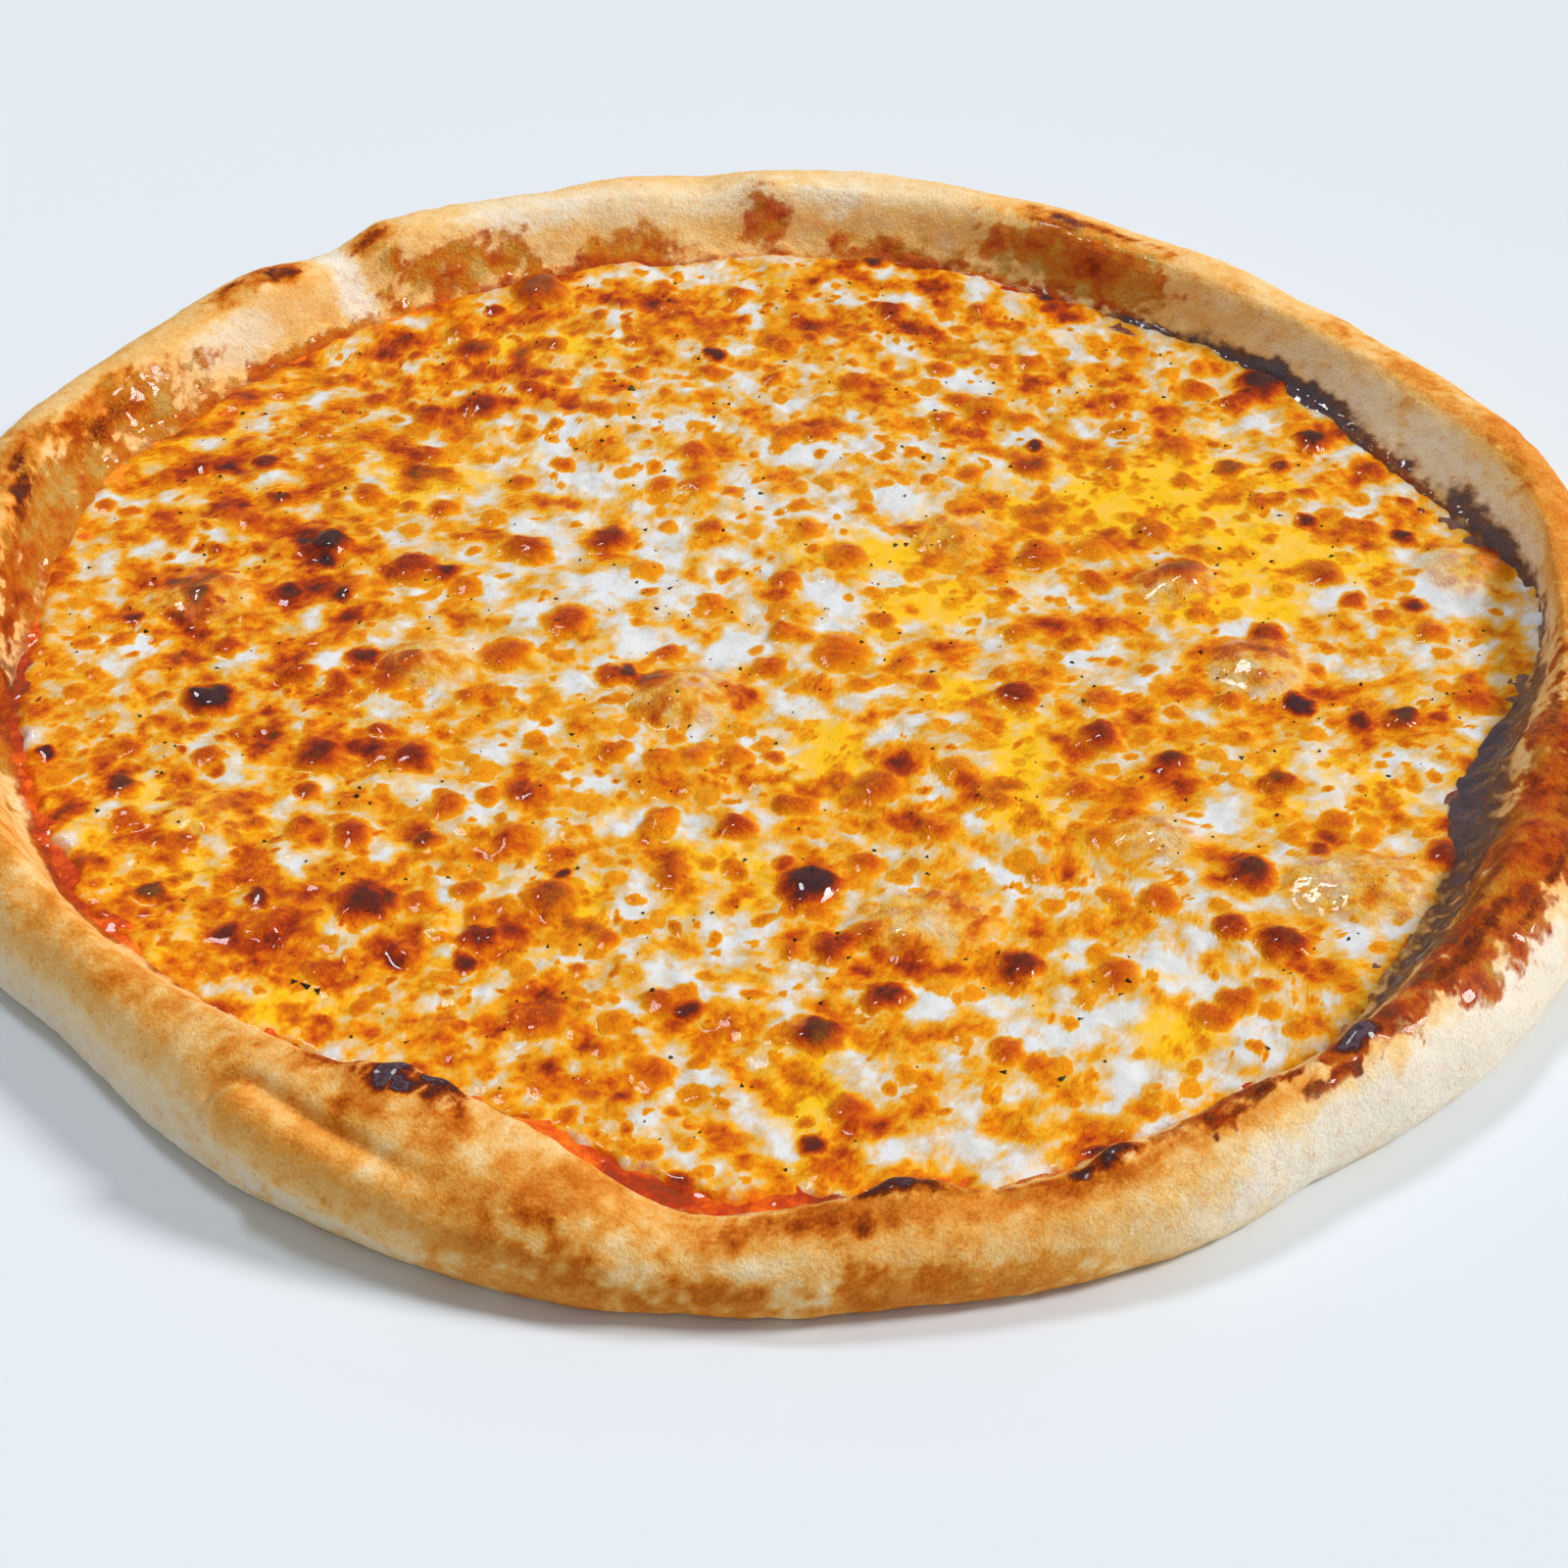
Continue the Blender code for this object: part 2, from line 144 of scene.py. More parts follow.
# The larger toasted blisters: (x, y, radius, rise in millimetres, darkness from amber 0 to charred 1)
BLISTERS = [
    (-82, 26, 4.6, 1.9, 1.0), (-30, 29, 4.6, 1.5, 0.75), (-45, 26, 4.4, 1.5, 0.6),
    (-66, 20, 5.2, 1.4, 0.7), (-36, 4, 4.6, 1.4, 0.6), (-15, 59, 4.2, 1.2, 0.55),
    (-57, 74, 4.6, 1.2, 0.75), (-98, -20, 5.0, 1.7, 1.0), (-77, -35, 5.0, 1.4, 0.8),
    (-61, -35, 4.4, 1.5, 0.75), (-47, -6, 4.8, 1.3, 0.5), (-69, -56, 3.8, 1.3, 0.65),
    (-57, -57, 3.2, 1.3, 0.8), (-65, -73, 5.8, 1.6, 0.85), (-35, -71, 4.4, 1.5, 0.7),
    (-46, -81, 4.0, 1.5, 0.8), (-35, -101, 4.4, 1.2, 0.6), (-17, -112, 4.2, 1.2, 0.5),
    (-5, -53, 3.8, 1.4, 0.65), (97, 85, 5.6, 2.0, 0.95), (105, 64, 3.6, 1.7, 0.95),
    (50, 54, 3.6, 1.4, 0.7), (78, 62, 4.2, 1.2, 0.5), (50, 26, 4.8, 1.3, 0.5), (14, 25, 4.4, 1.2, 0.45),
    (72, 34, 3.8, 1.2, 0.5), (102, 21, 4.0, 1.3, 0.6), (13, -4, 5.4, 1.2, 0.45),
    (44, -16, 4.2, 1.5, 0.75), (58, -27, 4.4, 1.9, 0.75), (70, -34, 4.2, 1.6, 0.8),
    (88, -39, 3.6, 1.6, 0.6), (19, -42, 4.4, 1.4, 0.6), (112, -21, 3.6, 1.5, 0.9),
    (115, -58, 4.4, 1.4, 0.75), (81, -63, 4.6, 1.8, 0.85), (85, -80, 4.4, 1.7, 0.75),
    (77, -76, 3.4, 1.3, 0.65), (8, -68, 5.8, 2.0, 0.95), (42, -86, 3.6, 1.5, 0.8),
    (20, -94, 4.0, 1.6, 0.8), (9, -103, 4.8, 1.5, 0.85), (57, -89, 4.0, 1.2, 0.5),
    (14, -120, 3.6, 1.2, 0.6), (24, 109, 4.0, 1.2, 0.65), (16, 83, 3.6, 1.1, 0.5)]

# The other toasted spots that were read off the photograph: (x, y, radius, darkness); a few on the lumps'
# left flanks are partly painted shade
SPOTS_AND_FLANK_SHADE = [
    (-48, 116, 6.0, 0.75), (-97, 53, 3.2, 0.8), (-109, 51, 2.6, 0.75), (-93, 41, 3.2, 0.8),
    (-66, 56, 3.2, 0.55), (-14, 48, 3.4, 0.45), (-60, 18, 3.0, 0.85), (-56, 14, 3.0, 0.4),
    (-23, 20, 3.0, 0.25), (-10, 10, 3.2, 0.4), (-88, 12, 3.6, 0.85), (-104, 8, 3.6, 0.85),
    (-115, 3, 2.6, 0.85), (-57, 108, 2.6, 0.7), (-31, 112, 2.6, 0.6), (-18, 107, 2.6, 0.6),
    (-12, 93, 2.2, 0.9), (-27, 86, 2.6, 0.5), (-71, 91, 2.3, 0.6), (-60, 94, 4.2, 0.75),
    (-36, 97, 2.1, 0.6), (-7, 106, 2.1, 0.6), (-52, 36, 2.6, 0.25), (-78, 75, 3.1, 0.6),
    (-68, 39, 2.2, 0.5), (-57, 30, 2.1, 0.5), (-8, 19, 2.1, 0.45), (-22, 13, 1.9, 0.45),
    (-40, 54, 2.1, 0.45), (-103, 38, 3.2, 0.7), (-97, 34, 3.1, 0.6), (-82, 21, 2.4, 0.95),
    (-67, 71, 3.0, 0.7), (-48, 80, 2.6, 0.6), (92, 79, 3.2, 0.6), (51, 62, 2.1, 0.9), (88, 55, 2.9, 0.75),
    (98, 55, 2.6, 0.8), (79, 51, 2.6, 0.5), (101, 39, 2.6, 0.85), (49, 39, 3.6, 0.5), (38, 52, 2.9, 0.45),
    (115, 55, 3.6, 0.6), (7, 33, 3.1, 0.4), (27, 34, 3.1, 0.5), (35, 30, 4.1, 0.25), (60, 28, 3.6, 0.35),
    (82, 37, 2.1, 0.5), (76, 20, 5.0, 0.75), (107, 13, 2.6, 0.6), (118, 12, 2.6, 0.8),
    (119, 34, 3.1, 0.9), (136, 30, 3.1, 0.8), (133, 23, 4.6, 0.35), (112, 8, 2.6, 0.5), (63, 5, 2.9, 0.4),
    (90, 2, 3.6, 0.7), (3, 2, 3.1, 0.45), (45, 2, 2.6, 0.4), (3, 65, 3.3, 0.45), (33, 89, 3.1, 0.5),
    (20, 112, 2.1, 0.6), (33, 117, 2.6, 0.6), (37, 78, 2.6, 0.5), (67, 84, 2.3, 0.5), (84, 82, 3.6, 0.5),
    (48, 71, 3.1, 0.45), (42, 75, 4.1, 0.35), (7, 100, 2.1, 0.6), (2, 96, 3.1, 0.5), (8, 121, 2.1, 0.7),
    (21, 129, 2.8, 0.95), (56, 116, 2.3, 0.95), (96, 45, 2.1, 0.5), (102, 47, 2.6, 0.5),
    (108, 36, 2.6, 0.5), (120, 45, 2.1, 0.6), (68, 77, 2.6, 0.5), (68, 68, 3.1, 0.3), (45, 91, 3.1, 0.45),
    (-67, -35, 3.1, 0.5), (-67, -28, 2.3, 0.6), (-78, -45, 2.6, 0.7), (-84, -13, 3.3, 0.6),
    # The dark spots at (-64, -10), (-20, -14) and (-25, -11) lie on the left flanks of the lumps at (-60,
    # -8) and (-14, -18), the sides turned from the light: partly toasting, partly painted shade
    (-76, -14, 3.1, 0.6), (-68, -14, 3.3, 0.6), (-72, -7, 3.6, 0.85), (-64, -10, 3.4, 0.7),
    (-50, -17, 3.1, 0.35), (-20, -14, 4.4, 0.75), (-25, -11, 2.8, 0.95), (-54, -48, 3.1, 0.5),
    (-47, -45, 2.3, 0.4), (-39, -44, 2.3, 0.5), (-42, -57, 4.1, 0.4), (-86, -53, 2.6, 0.6),
    (-78, -55, 3.2, 0.45), (-18, -53, 3.1, 0.25), (-15, -65, 3.1, 0.5), (-5, -64, 2.6, 0.45),
    (-57, -72, 3.1, 0.5), (-33, -65, 2.1, 0.9), (-48, -87, 2.3, 0.85), (-101, -71, 3.1, 0.85),
    (-83, -72, 2.6, 0.8), (-87, -81, 3.1, 0.85), (-80, -80, 2.1, 0.6), (-47, -75, 2.6, 0.45),
    (-30, -88, 1.9, 0.5), (-12, -98, 2.6, 0.85), (-23, -101, 3.1, 0.3), (-33, -125, 2.2, 0.8),
    (-12, -135, 2.6, 0.85), (-124, -35, 2.6, 0.9), (-110, -44, 3.1, 0.85), (-97, -5, 3.1, 0.6),
    (24, -7, 2.9, 0.4), (16, -13, 2.6, 0.4), (59, -17, 3.6, 0.5), (62, -43, 3.3, 0.5),
    (54, -42, 3.1, 0.5), (33, -37, 3.6, 0.3), (4, -46, 3.3, 0.5), (26, -33, 2.9, 0.3),
    (28, -52, 3.1, 0.4), (57, -54, 3.1, 0.4), (94, -18, 2.9, 0.95), (104, -22, 2.6, 0.85),
    (118, -20, 2.1, 0.7), (125, -16, 4.1, 0.55), (117, -49, 2.2, 0.9), (93, -57, 2.2, 0.7),
    (46, -64, 2.6, 0.3), (58, -69, 2.6, 0.35), (3, -62, 2.2, 0.6), (12, -82, 4.1, 0.7),
    (23, -83, 2.6, 0.4), (81, -90, 2.3, 0.5), (72, -97, 3.3, 0.5), (8, -127, 2.6, 0.85),
    (43, -109, 2.6, 0.5), (24, -137, 4.2, 0.85), (20, -138, 4.0, 0.8), (52, -129, 3.4, 0.95),
    (-12, -34, 3.6, 0.45), (-18, -35, 3.2, 0.4), (-5, -34, 3.0, 0.4)]

# Where the cheese is whiter or more toasted than elsewhere: (x, y, half length, half width, change of tone)
TONES = [(-32, 24, 34, 22, -0.24), (14, 10, 16, 14, -0.20), (122, 18, 10, 12, -0.28),
         (-50, -44, 14, 8, -0.22), (66, -70, 14, 14, -0.10), (55, -105, 20, 12, -0.22),
         (30, -128, 14, 6, -0.30), (-8, -64, 10, 14, -0.16), (122, -6, 14, 8, -0.20),
         (-10, -8, 26, 10, -0.14), (-40, 50, 26, 16, -0.14), (20, 60, 34, 22, -0.05),
         (-14, 87, 7, 4, -0.30), (-92, 30, 30, 44, 0.31), (-62, 88, 34, 18, 0.28),
         (10, 108, 60, 16, 0.20), (-96, -52, 24, 44, 0.25), (-58, -90, 38, 20, 0.20),
         (-20, -118, 30, 18, 0.14), (62, 60, 34, 24, 0.10), (100, -20, 24, 14, 0.12),
         (36, -40, 26, 12, 0.08), (0, -36, 24, 5, 0.26)]

# Where melted fat lies in yellow pools: (x, y, half length, half width, amount)
POOLS = [(30, 10, 14, 9, 0.55), (12, -35, 8, 11, 0.65), (45, -38, 8, 14, 0.65), (97, 26, 15, 11, 0.65),
         (60, 40, 16, 7, 0.5), (82, 52, 12, 8, 0.55), (84, 10, 14, 5, 0.5), (34, -14, 8, 5, 0.5),
         (65, -101, 8, 6, 0.6), (8, -117, 6, 9, 0.6), (-30, -72, 6, 8, 0.55), (-75, -97, 8, 5, 0.55),
         (-120, 64, 10, 12, 0.6), (20, 28, 16, 6, 0.5), (-66, 50, 14, 10, 0.4), (70, 45, 30, 14, 0.4),
         (-6, -66, 7, 9, 0.45), (-48, 96, 18, 6, 0.35), (100, -40, 20, 14, 0.3), (-100, -60, 20, 30, 0.25)]

# Small blisters and freckles fill the rest by a rule with seeded draws. Sizes, margins to the edge and the
# blisters' spacing are in millimetres; rises and the freckles' spacing are shares of the radii.
SEED = 7
SMALL_BLISTERS = 70
SMALL_BLISTER_SIZES = (2.4, 3.4)
SMALL_BLISTER_RISE = 0.3
SMALL_BLISTER_DARKNESS = 0.5
SMALL_BLISTER_SPACING = 11
SMALL_BLISTER_MARGIN = 8
FRECKLES = 1300
FRECKLE_TRIES = 9000
FRECKLE_SIZES = (0.7, 2.4)
FRECKLE_SKEW = 1.6
FRECKLE_RISE = 0.12
FRECKLE_MARGIN = 2
FRECKLE_SPACING = 0.85
FRECKLE_DARKNESS = (0.08, 0.42)
FRECKLE_TONE_DARKNESS = 0.8
FRECKLE_CHANCE = 0.45
FRECKLE_TONE_CHANCE = 1.5

# Shape and colour of the spots: rise, halo and reach of the glow in radii, warp in waves per metre
SPOT_RISE = 0.26
SPOT_HALO = 1.45
SPOT_DEPTH = 0.62
SPOT_DEPTH_POWER = 1.6
SPOT_ROUNDNESS = 0.8
SPOT_GLOW = 0.16
SPOT_GLOW_REACH = 1.9
SPOT_WARP_SCALE = 190

# Shape of the lumps, and of the skin that covers them
MOUND_ROUNDNESS = 1.3
SKIN_REACH = 1.15
SKIN_RISE = 3

# Tone of the cheese between white 0 and charred 1, with patches in waves per metre and widths in millimetres
TONE_BASE = 0.27
TONE_ZONES = 0.55
TONE_SWING = 0.34
TONE_ZONE_SWING = 0.2
TONE_SCALE = 110
TONE_DRIFT = 0.08
TONE_DRIFT_SCALE = 45
EDGE_TONE = 0.14
EDGE_TONE_WIDTH = 5
SHORE_WIDTH = 3.5
POOL_SWING = 0.24
POOL_FLATNESS = 0.6

# Colour of the rim: (bearing, half width in degrees, share, half width as a share, amount)
TOASTED_AND_BOARD_LIT = [(125, 3, 0.60, 0.09, 0.30), (135, 5, 0.57, 0.09, 0.30), (156, 6, 0.72, 0.12, 0.30),
           (168, 10, 0.64, 0.14, 0.22), (-150, 24, 0.58, 0.12, 0.10), (-114, 6, 0.61, 0.08, 0.12),
           (-80, 14, 0.60, 0.10, 0.15), (-24, 16, 0.60, 0.14, 0.25), (12, 28, 0.50, 0.26, 0.20),
           (-98, 14, 0.56, 0.14, 0.06), (64, 9, 0.60, 0.07, 0.20), (-126, 34, 0.42, 0.26, 0.06),
           # The patch at bearing -88 low on the outer wall (share 0.16) is a painted reflection, golden
           # light bounced up from a board under the front, rather than toasting
           (-84, 34, 0.40, 0.34, 0.08), (-88, 24, 0.16, 0.22, 0.28), (-86, 3, 0.58, 0.08, 0.12),
           (-60, 12, 0.56, 0.08, 0.14)]
# The first pale patch, on the outer wall at the front right that faces the light, is painted light; the
# others are paler dough
PALE_AND_LIT = [(-46, 22, 0.30, 0.24, 0.46), (104, 36, 0.48, 0.22, 0.06), (128.5, 1.8, 0.68, 0.30, 0.46),
        (141, 6, 0.78, 0.12, 0.30), (100, 20, 0.68, 0.12, 0.20), (-132, 26, 0.22, 0.18, 0.22),
        (-90, 3, 0.42, 0.06, 0.20), (80, 10, 0.60, 0.14, 0.14), (112, 6, 0.62, 0.16, 0.16),
        (20, 30, 0.80, 0.16, 0.26)]
STAINED = [(62.5, 11, 0.78, 0.22, 1.5), (91, 3, 0.80, 0.18, 1.0), (104, 8, 0.92, 0.14, 0.9),
           (79, 8, 0.94, 0.12, 0.9), (118, 7, 0.84, 0.18, 1.1), (124.5, 2.4, 0.72, 0.16, 0.9),
           (136, 7, 0.97, 0.10, 0.9), (151, 8, 0.84, 0.20, 1.1), (168, 15, 0.84, 0.24, 1.3),
           (-168, 13, 0.88, 0.18, 1.1), (-28, 24, 0.64, 0.20, 1.6), (-150, 12, 1.0, 0.07, 0.8),
           (-66, 24, 0.99, 0.06, 0.7), (-108, 18, 0.93, 0.08, 0.8), (-55, 4, 0.50, 0.05, 0.8),
           (30, 26, 0.99, 0.06, 0.6), (-48, 12, 0.61, 0.12, 1.4), (-62, 13, 0.63, 0.08, 0.9),
           (135, 4, 0.60, 0.07, 0.7), (-80, 6, 0.64, 0.08, 0.9), (-106, 5, 0.66, 0.06, 0.8),
           (16, 7, 0.62, 0.06, 0.6)]
SCORCHED = [(125, 2.4, 0.59, 0.04, 0.5), (133, 2.2, 0.60, 0.04, 0.5), (137, 2.8, 0.54, 0.04, 0.42),
            (168, 4.6, 0.70, 0.07, 0.6), (156, 4, 0.78, 0.07, 0.35), (-113, 2.6, 0.635, 0.065, 1.0),
            (-110, 2.4, 0.61, 0.05, 0.6), (-117, 3.0, 0.62, 0.04, 0.4), (-51, 2.2, 0.595, 0.055, 0.95),
            (-57, 4.0, 0.60, 0.03, 0.5), (-81.5, 3.4, 0.65, 0.07, 0.7), (-69, 2.6, 0.61, 0.05, 0.8),
            (62, 8, 0.56, 0.025, 0.38), (66, 4, 0.62, 0.04, 0.25), (-30, 6, 0.51, 0.02, 0.42),
            (-40, 7, 0.58, 0.03, 0.46), (-20, 5, 0.56, 0.03, 0.36), (-33, 5, 0.70, 0.06, 0.36),
            (-12, 5, 0.66, 0.05, 0.36), (165, 3, 0.60, 0.03, 0.35), (91, 2, 0.62, 0.04, 0.24)]
# Film on the inner wall of the right side, which faces away from the light: partly a browned film, partly
# painted shade, with a painted bluish reflection of the sky in its greyer colours
FILMED_AND_SHADED = [(-18, 21, 0.92, 0.18, 1.25), (-42, 9, 0.86, 0.12, 1.0), (40, 16, 0.97, 0.13, 1.2),
          (12, 12, 0.94, 0.15, 1.0), (55, 4, 0.99, 0.06, 0.8), (41, 4, 0.95, 0.12, 0.8)]
REDDENED = [(-172, 9, 0.92, 0.16, 0.24), (91, 3, 0.78, 0.14, 0.08), (58, 5, 0.76, 0.12, 0.10),
            (156, 5, 0.74, 0.10, 0.16), (-28, 26, 0.61, 0.20, 0.17), (-55, 4, 0.50, 0.05, 0.3),
            (168, 6, 0.72, 0.08, 0.14), (66, 7, 0.84, 0.14, 0.08), (135, 4, 0.58, 0.06, 0.14),
            (-81, 4, 0.66, 0.06, 0.2), (-50, 13, 0.60, 0.12, 0.20), (-64, 10, 0.62, 0.08, 0.2),
            (108, 20, 0.86, 0.22, 0.04), (160, 16, 0.88, 0.16, -0.03)]

# Tint of what wets the rim's foot, from amber fat 0 over red sauce to dark film 1; the dark end, high on the
# right side that faces away from the light, is partly painted shade and painted bluish reflection:
# (bearing, spread in degrees, amount)
WET_TINTS = [(-172, 9, 0.32), (-150, 10, 0.26), (-122, 8, 0.30), (-97, 6, 0.28), (-84, 5, 0.26),
             (-62, 10, 0.34), (-35, 16, 0.50), (-10, 18, 0.36), (10, 16, 0.46), (42, 18, 0.60),
             (64, 6, 0.16), (76, 4, 0.28), (100, 9, 0.22), (116, 8, 0.18), (140, 8, 0.14)]
WET_TINT_BASE = 0.16
WET_TINT_SWING = 0.10
WALL_TINT_BASE = 0.13
WALL_TINT_SWING = 0.20
TINT_SCALE = 150
SAUCE_TINT = 0.06

# How toasted the rim is away from its patches, and how uneven the outlines of the patches are
TOAST_BASE = 0.26
TOAST_CROWN = 0.16
CROWN_SHARES = (0.18, 0.52)
TOAST_COARSE = 0.07
TOAST_FINE = 0.06
COARSE_SCALE = 90
FINE_SCALE = 330
FOLD_TOAST = 0.06
FOOT_SHARES = (0.88, 1.0)
FOOT_STAIN = 0.6
PATCH_REACH = 1.25
PATCH_SOFTNESS = 0.8
PATCH_EDGE_COARSE = 0.4
PATCH_EDGE_FINE = 0.3
STAIN_SOFTNESS = 1.1
FILM_AND_SHADE_SOFTNESS = 1.3
FILM_AND_SHADE_EDGE = 0.6

# Points of the meshes
STATIONS = 1080
RIM_RINGS = 80
SAUCE_RINGS = 14
CHEESE_CELLS = 300

# Dried herbs, with sizes and margin in millimetres and widths as shares of the length
# Each flake has a lower and an upper ring: (lift in millimetres, size as a share)
HERBS = 520
HERB_SIZES = (0.25, 0.75)
HERB_SKEW = 2.2
HERB_WIDTHS = (0.35, 0.9)
HERB_MARGIN = 4
HERB_LIFT = 0.02 * MM
HERB_CORNERS = 6
HERB_RINGS = ((-0.10, 0.9), (0.12, 1.0))
PLACED_HERBS = [(-28, 80, 1.6), (-73, -93, 1.3), (-71, -94, 0.9), (-75, -92, 0.8), (47, -112, 1.1),
                (38, -111, 0.8), (-2, 45, 0.8), (-33, 62, 0.7)]

# Camera: it looks at the middle of the board that the pizza lay on
CAMERA_TARGET = (3.11 * MM, -31.48 * MM)
CAMERA_DISTANCE = 617 * MM
CAMERA_ELEVATION = math.radians(39.83)
CAMERA_ROLL = math.radians(0.71)
CAMERA_LENS = 81
CAMERA_SENSOR = 36

# Lights like suns: (name, bearing, elevation, width in the sky in degrees, power, colour)
LIGHTS = [("key", 6, 40, 14, 2.44, (1.0, 0.975, 0.945)),
          ("window", 128, 62, 11, 0.99, (0.83, 0.90, 0.98)),
          ("front", -100, 50, 36, 0.16, (1.0, 0.98, 0.96))]
SKY_COLOUR = (0.95, 0.92, 0.90, 1)
SKY_STRENGTH = 0.30
FLOOR_HALF_WIDTH = 20

# Sockets of the mix node in its form for colours
MIX_FIRST = 6
MIX_SECOND = 7
MIX_RESULT = 2


def turn_between(bearing, centre):
    """Signed angle in degrees from a centre to a bearing."""
    return (bearing - centre + 180) % 360 - 180


def departure(features, bearing):
    """Sum of the features' smooth bumps at a bearing, in metres."""
    return MM * sum(amount * np.exp(-(turn_between(bearing, centre) / spread) ** 2)
                    for centre, spread, amount in features)


def outer_radius(bearing):
    return RADIUS + departure(OUTLINE, bearing)


def rim_height(bearing):
    return RIM_HEIGHT + departure(HEIGHTS, bearing)


def crest_radius(bearing):
    return CREST_RADIUS + departure(CRESTS, bearing)


def foot_radius(bearing):
    """Where the rim's inner wall meets the level of the cheese."""
    return FOOT_RADIUS + departure(FEET, bearing)


def wall_radius(bearing, height):
    """Inner wall of the rim between its floor and the level of the cheese."""
    return foot_radius(bearing) - WALL_FOOT_SLOPE * (CHEESE_LEVEL - height) / (CHEESE_LEVEL - BASE_THICKNESS)


def cheese_radius(bearing):
    """Where the cheese ends, short of the wall by the sauce that shows."""
    return foot_radius(bearing) - SAUCE_WIDTH - departure(SAUCE_SHOWS, bearing)


def place(bearing, radius, height):
    """Points as rows of x, y, z."""
    angle = np.radians(bearing)
    flat = radius * np.cos(angle), radius * np.sin(angle)
    return np.stack(np.broadcast_arrays(*flat, height), axis=-1)


def waves(points, layers):
    """Smooth unevenness at each point, in metres."""
    rise = np.zeros(len(points))
    for frequency, amount in layers:
        rise += amount * MM * np.array([noise.noise(Vector(point)) for point in points * frequency])
    return rise


def patches(points, frequency, octaves=3):
    """Uneven values from about -1 to 1 at each point, with finer detail in each octave."""
    total = np.zeros(len(points))
    for octave in range(octaves):
        scaled = points * frequency * OCTAVE_FINER ** octave + OCTAVE_SHIFT * octave
        total += OCTAVE_FAINTER ** octave * np.array([noise.noise(Vector(point)) for point in scaled])
    return total * NOISE_REACH


def smooth_step(value, start, end):
    """0 below start, 1 above end, smooth between."""
    along = np.clip((value - start) / (end - start), 0, 1)
    return along * along * (3 - 2 * along)


def rim_point(bearing, share):
    """Radius and height of the rim's plain section."""
    outer, height = outer_radius(bearing), rim_height(bearing)
    crest, foot = crest_radius(bearing), foot_radius(bearing)
    widest = WIDEST_HEIGHT * height
    low = np.clip(share / WIDEST_SHARE, 0, 1) * math.pi / 2
    high = np.clip((share - WIDEST_SHARE) / (CREST_SHARE - WIDEST_SHARE), 0, 1) * math.pi / 2
    inward = np.clip((share - CREST_SHARE) / (1 - CREST_SHARE), 0, 1)
    out = np.clip(np.cos(high), 0, 1) ** WALL_POWER
    up = np.clip(np.sin(high), 0, 1) ** WALL_POWER
    drop = 0.5 - 0.5 * np.cos(math.pi * inward)
    radius = crest + (outer - crest) * out - TUCK * (1 - np.sin(low)) + (foot - crest) * inward
    level = widest * (1 - np.cos(low)) + (height - widest) * up + (CHEESE_LEVEL - height) * drop
    return radius, level


def fold_relief(bearing, share):
    """Outward push of the fold of dough: a tongue with a round tip, and a crease round and above it."""
    x = np.radians(turn_between(bearing, FOLD_TIP[0])) * RADIUS
    y = (share - FOLD_TIP[1]) * SECTION_LENGTH
    end_x = math.radians(FOLD_END[0] - FOLD_TIP[0]) * RADIUS
    end_y = (FOLD_END[1] - FOLD_TIP[1]) * SECTION_LENGTH
    length = math.hypot(end_x, end_y)
    along = (x * end_x + y * end_y) / length ** 2
    above = (y * end_x - x * end_y) / length
    held = np.clip(along, 0, 1)
    away = np.hypot(x - held * end_x, y - held * end_y)
    bulge = FOLD_BULGE * np.exp(-(away / FOLD_HALF_WIDTH) ** 4) * (1 - smooth_step(along, *FOLD_FADE))
    line = np.exp(-((away - FOLD_CREASE_PLACE) / FOLD_CREASE_WIDTH) ** 2)
    upper = smooth_step(above - FOLD_CREASE_SLANT * along, *FOLD_CREASE_START)
    return bulge - FOLD_CREASE * line * upper * (1 - smooth_step(along, *FOLD_CREASE_FADE))


def rim_blister_relief(bearing, share):
    """Outward push of the rim's blisters."""
    rise = 0.0
    for centre, where, size, amount in RIM_BLISTERS:
        across = np.radians(turn_between(bearing, centre)) * CREST_RADIUS / (size * MM)
        over = (share - where) * SECTION_LENGTH / (size * MM)
        rise = rise + amount * MM * np.exp(-across ** 2 - over ** 2)
    return rise


def rim_surface(bearing, share):
    """Points of the rim, pushed outward by all its relief."""
    radius, height = rim_point(bearing, share)
    before = rim_point(bearing, share - SLOPE_STEP)
    after = rim_point(bearing, share + SLOPE_STEP)
    run, climb = after[0] - before[0], after[1] - before[1]
    length = np.hypot(run, climb)
    fade = np.clip(share / RELIEF_FADE, 0, 1) * np.clip((1 - share) / RELIEF_FADE, 0, 1)
    plain = place(bearing, radius, height)
    push = waves(plain, DOUGH_WAVES) + fold_relief(bearing, share) + rim_blister_relief(bearing, share)
    push = fade * (push + waves(plain, SKIN_WAVES))
    wet = feature_sum(STAINED, bearing, share, 0.0) + feature_sum(FILMED_AND_SHADED, bearing, share, 0.0)
    wet = np.maximum(smooth_step(share, *WET_WALL_SHARES), WET_PATCH_RELIEF * np.clip(wet, 0, 1))
    push += wet * waves(plain, WET_WALL_WAVES)
    return place(bearing, radius + push * climb / length, np.maximum(height - push * run / length, 0))


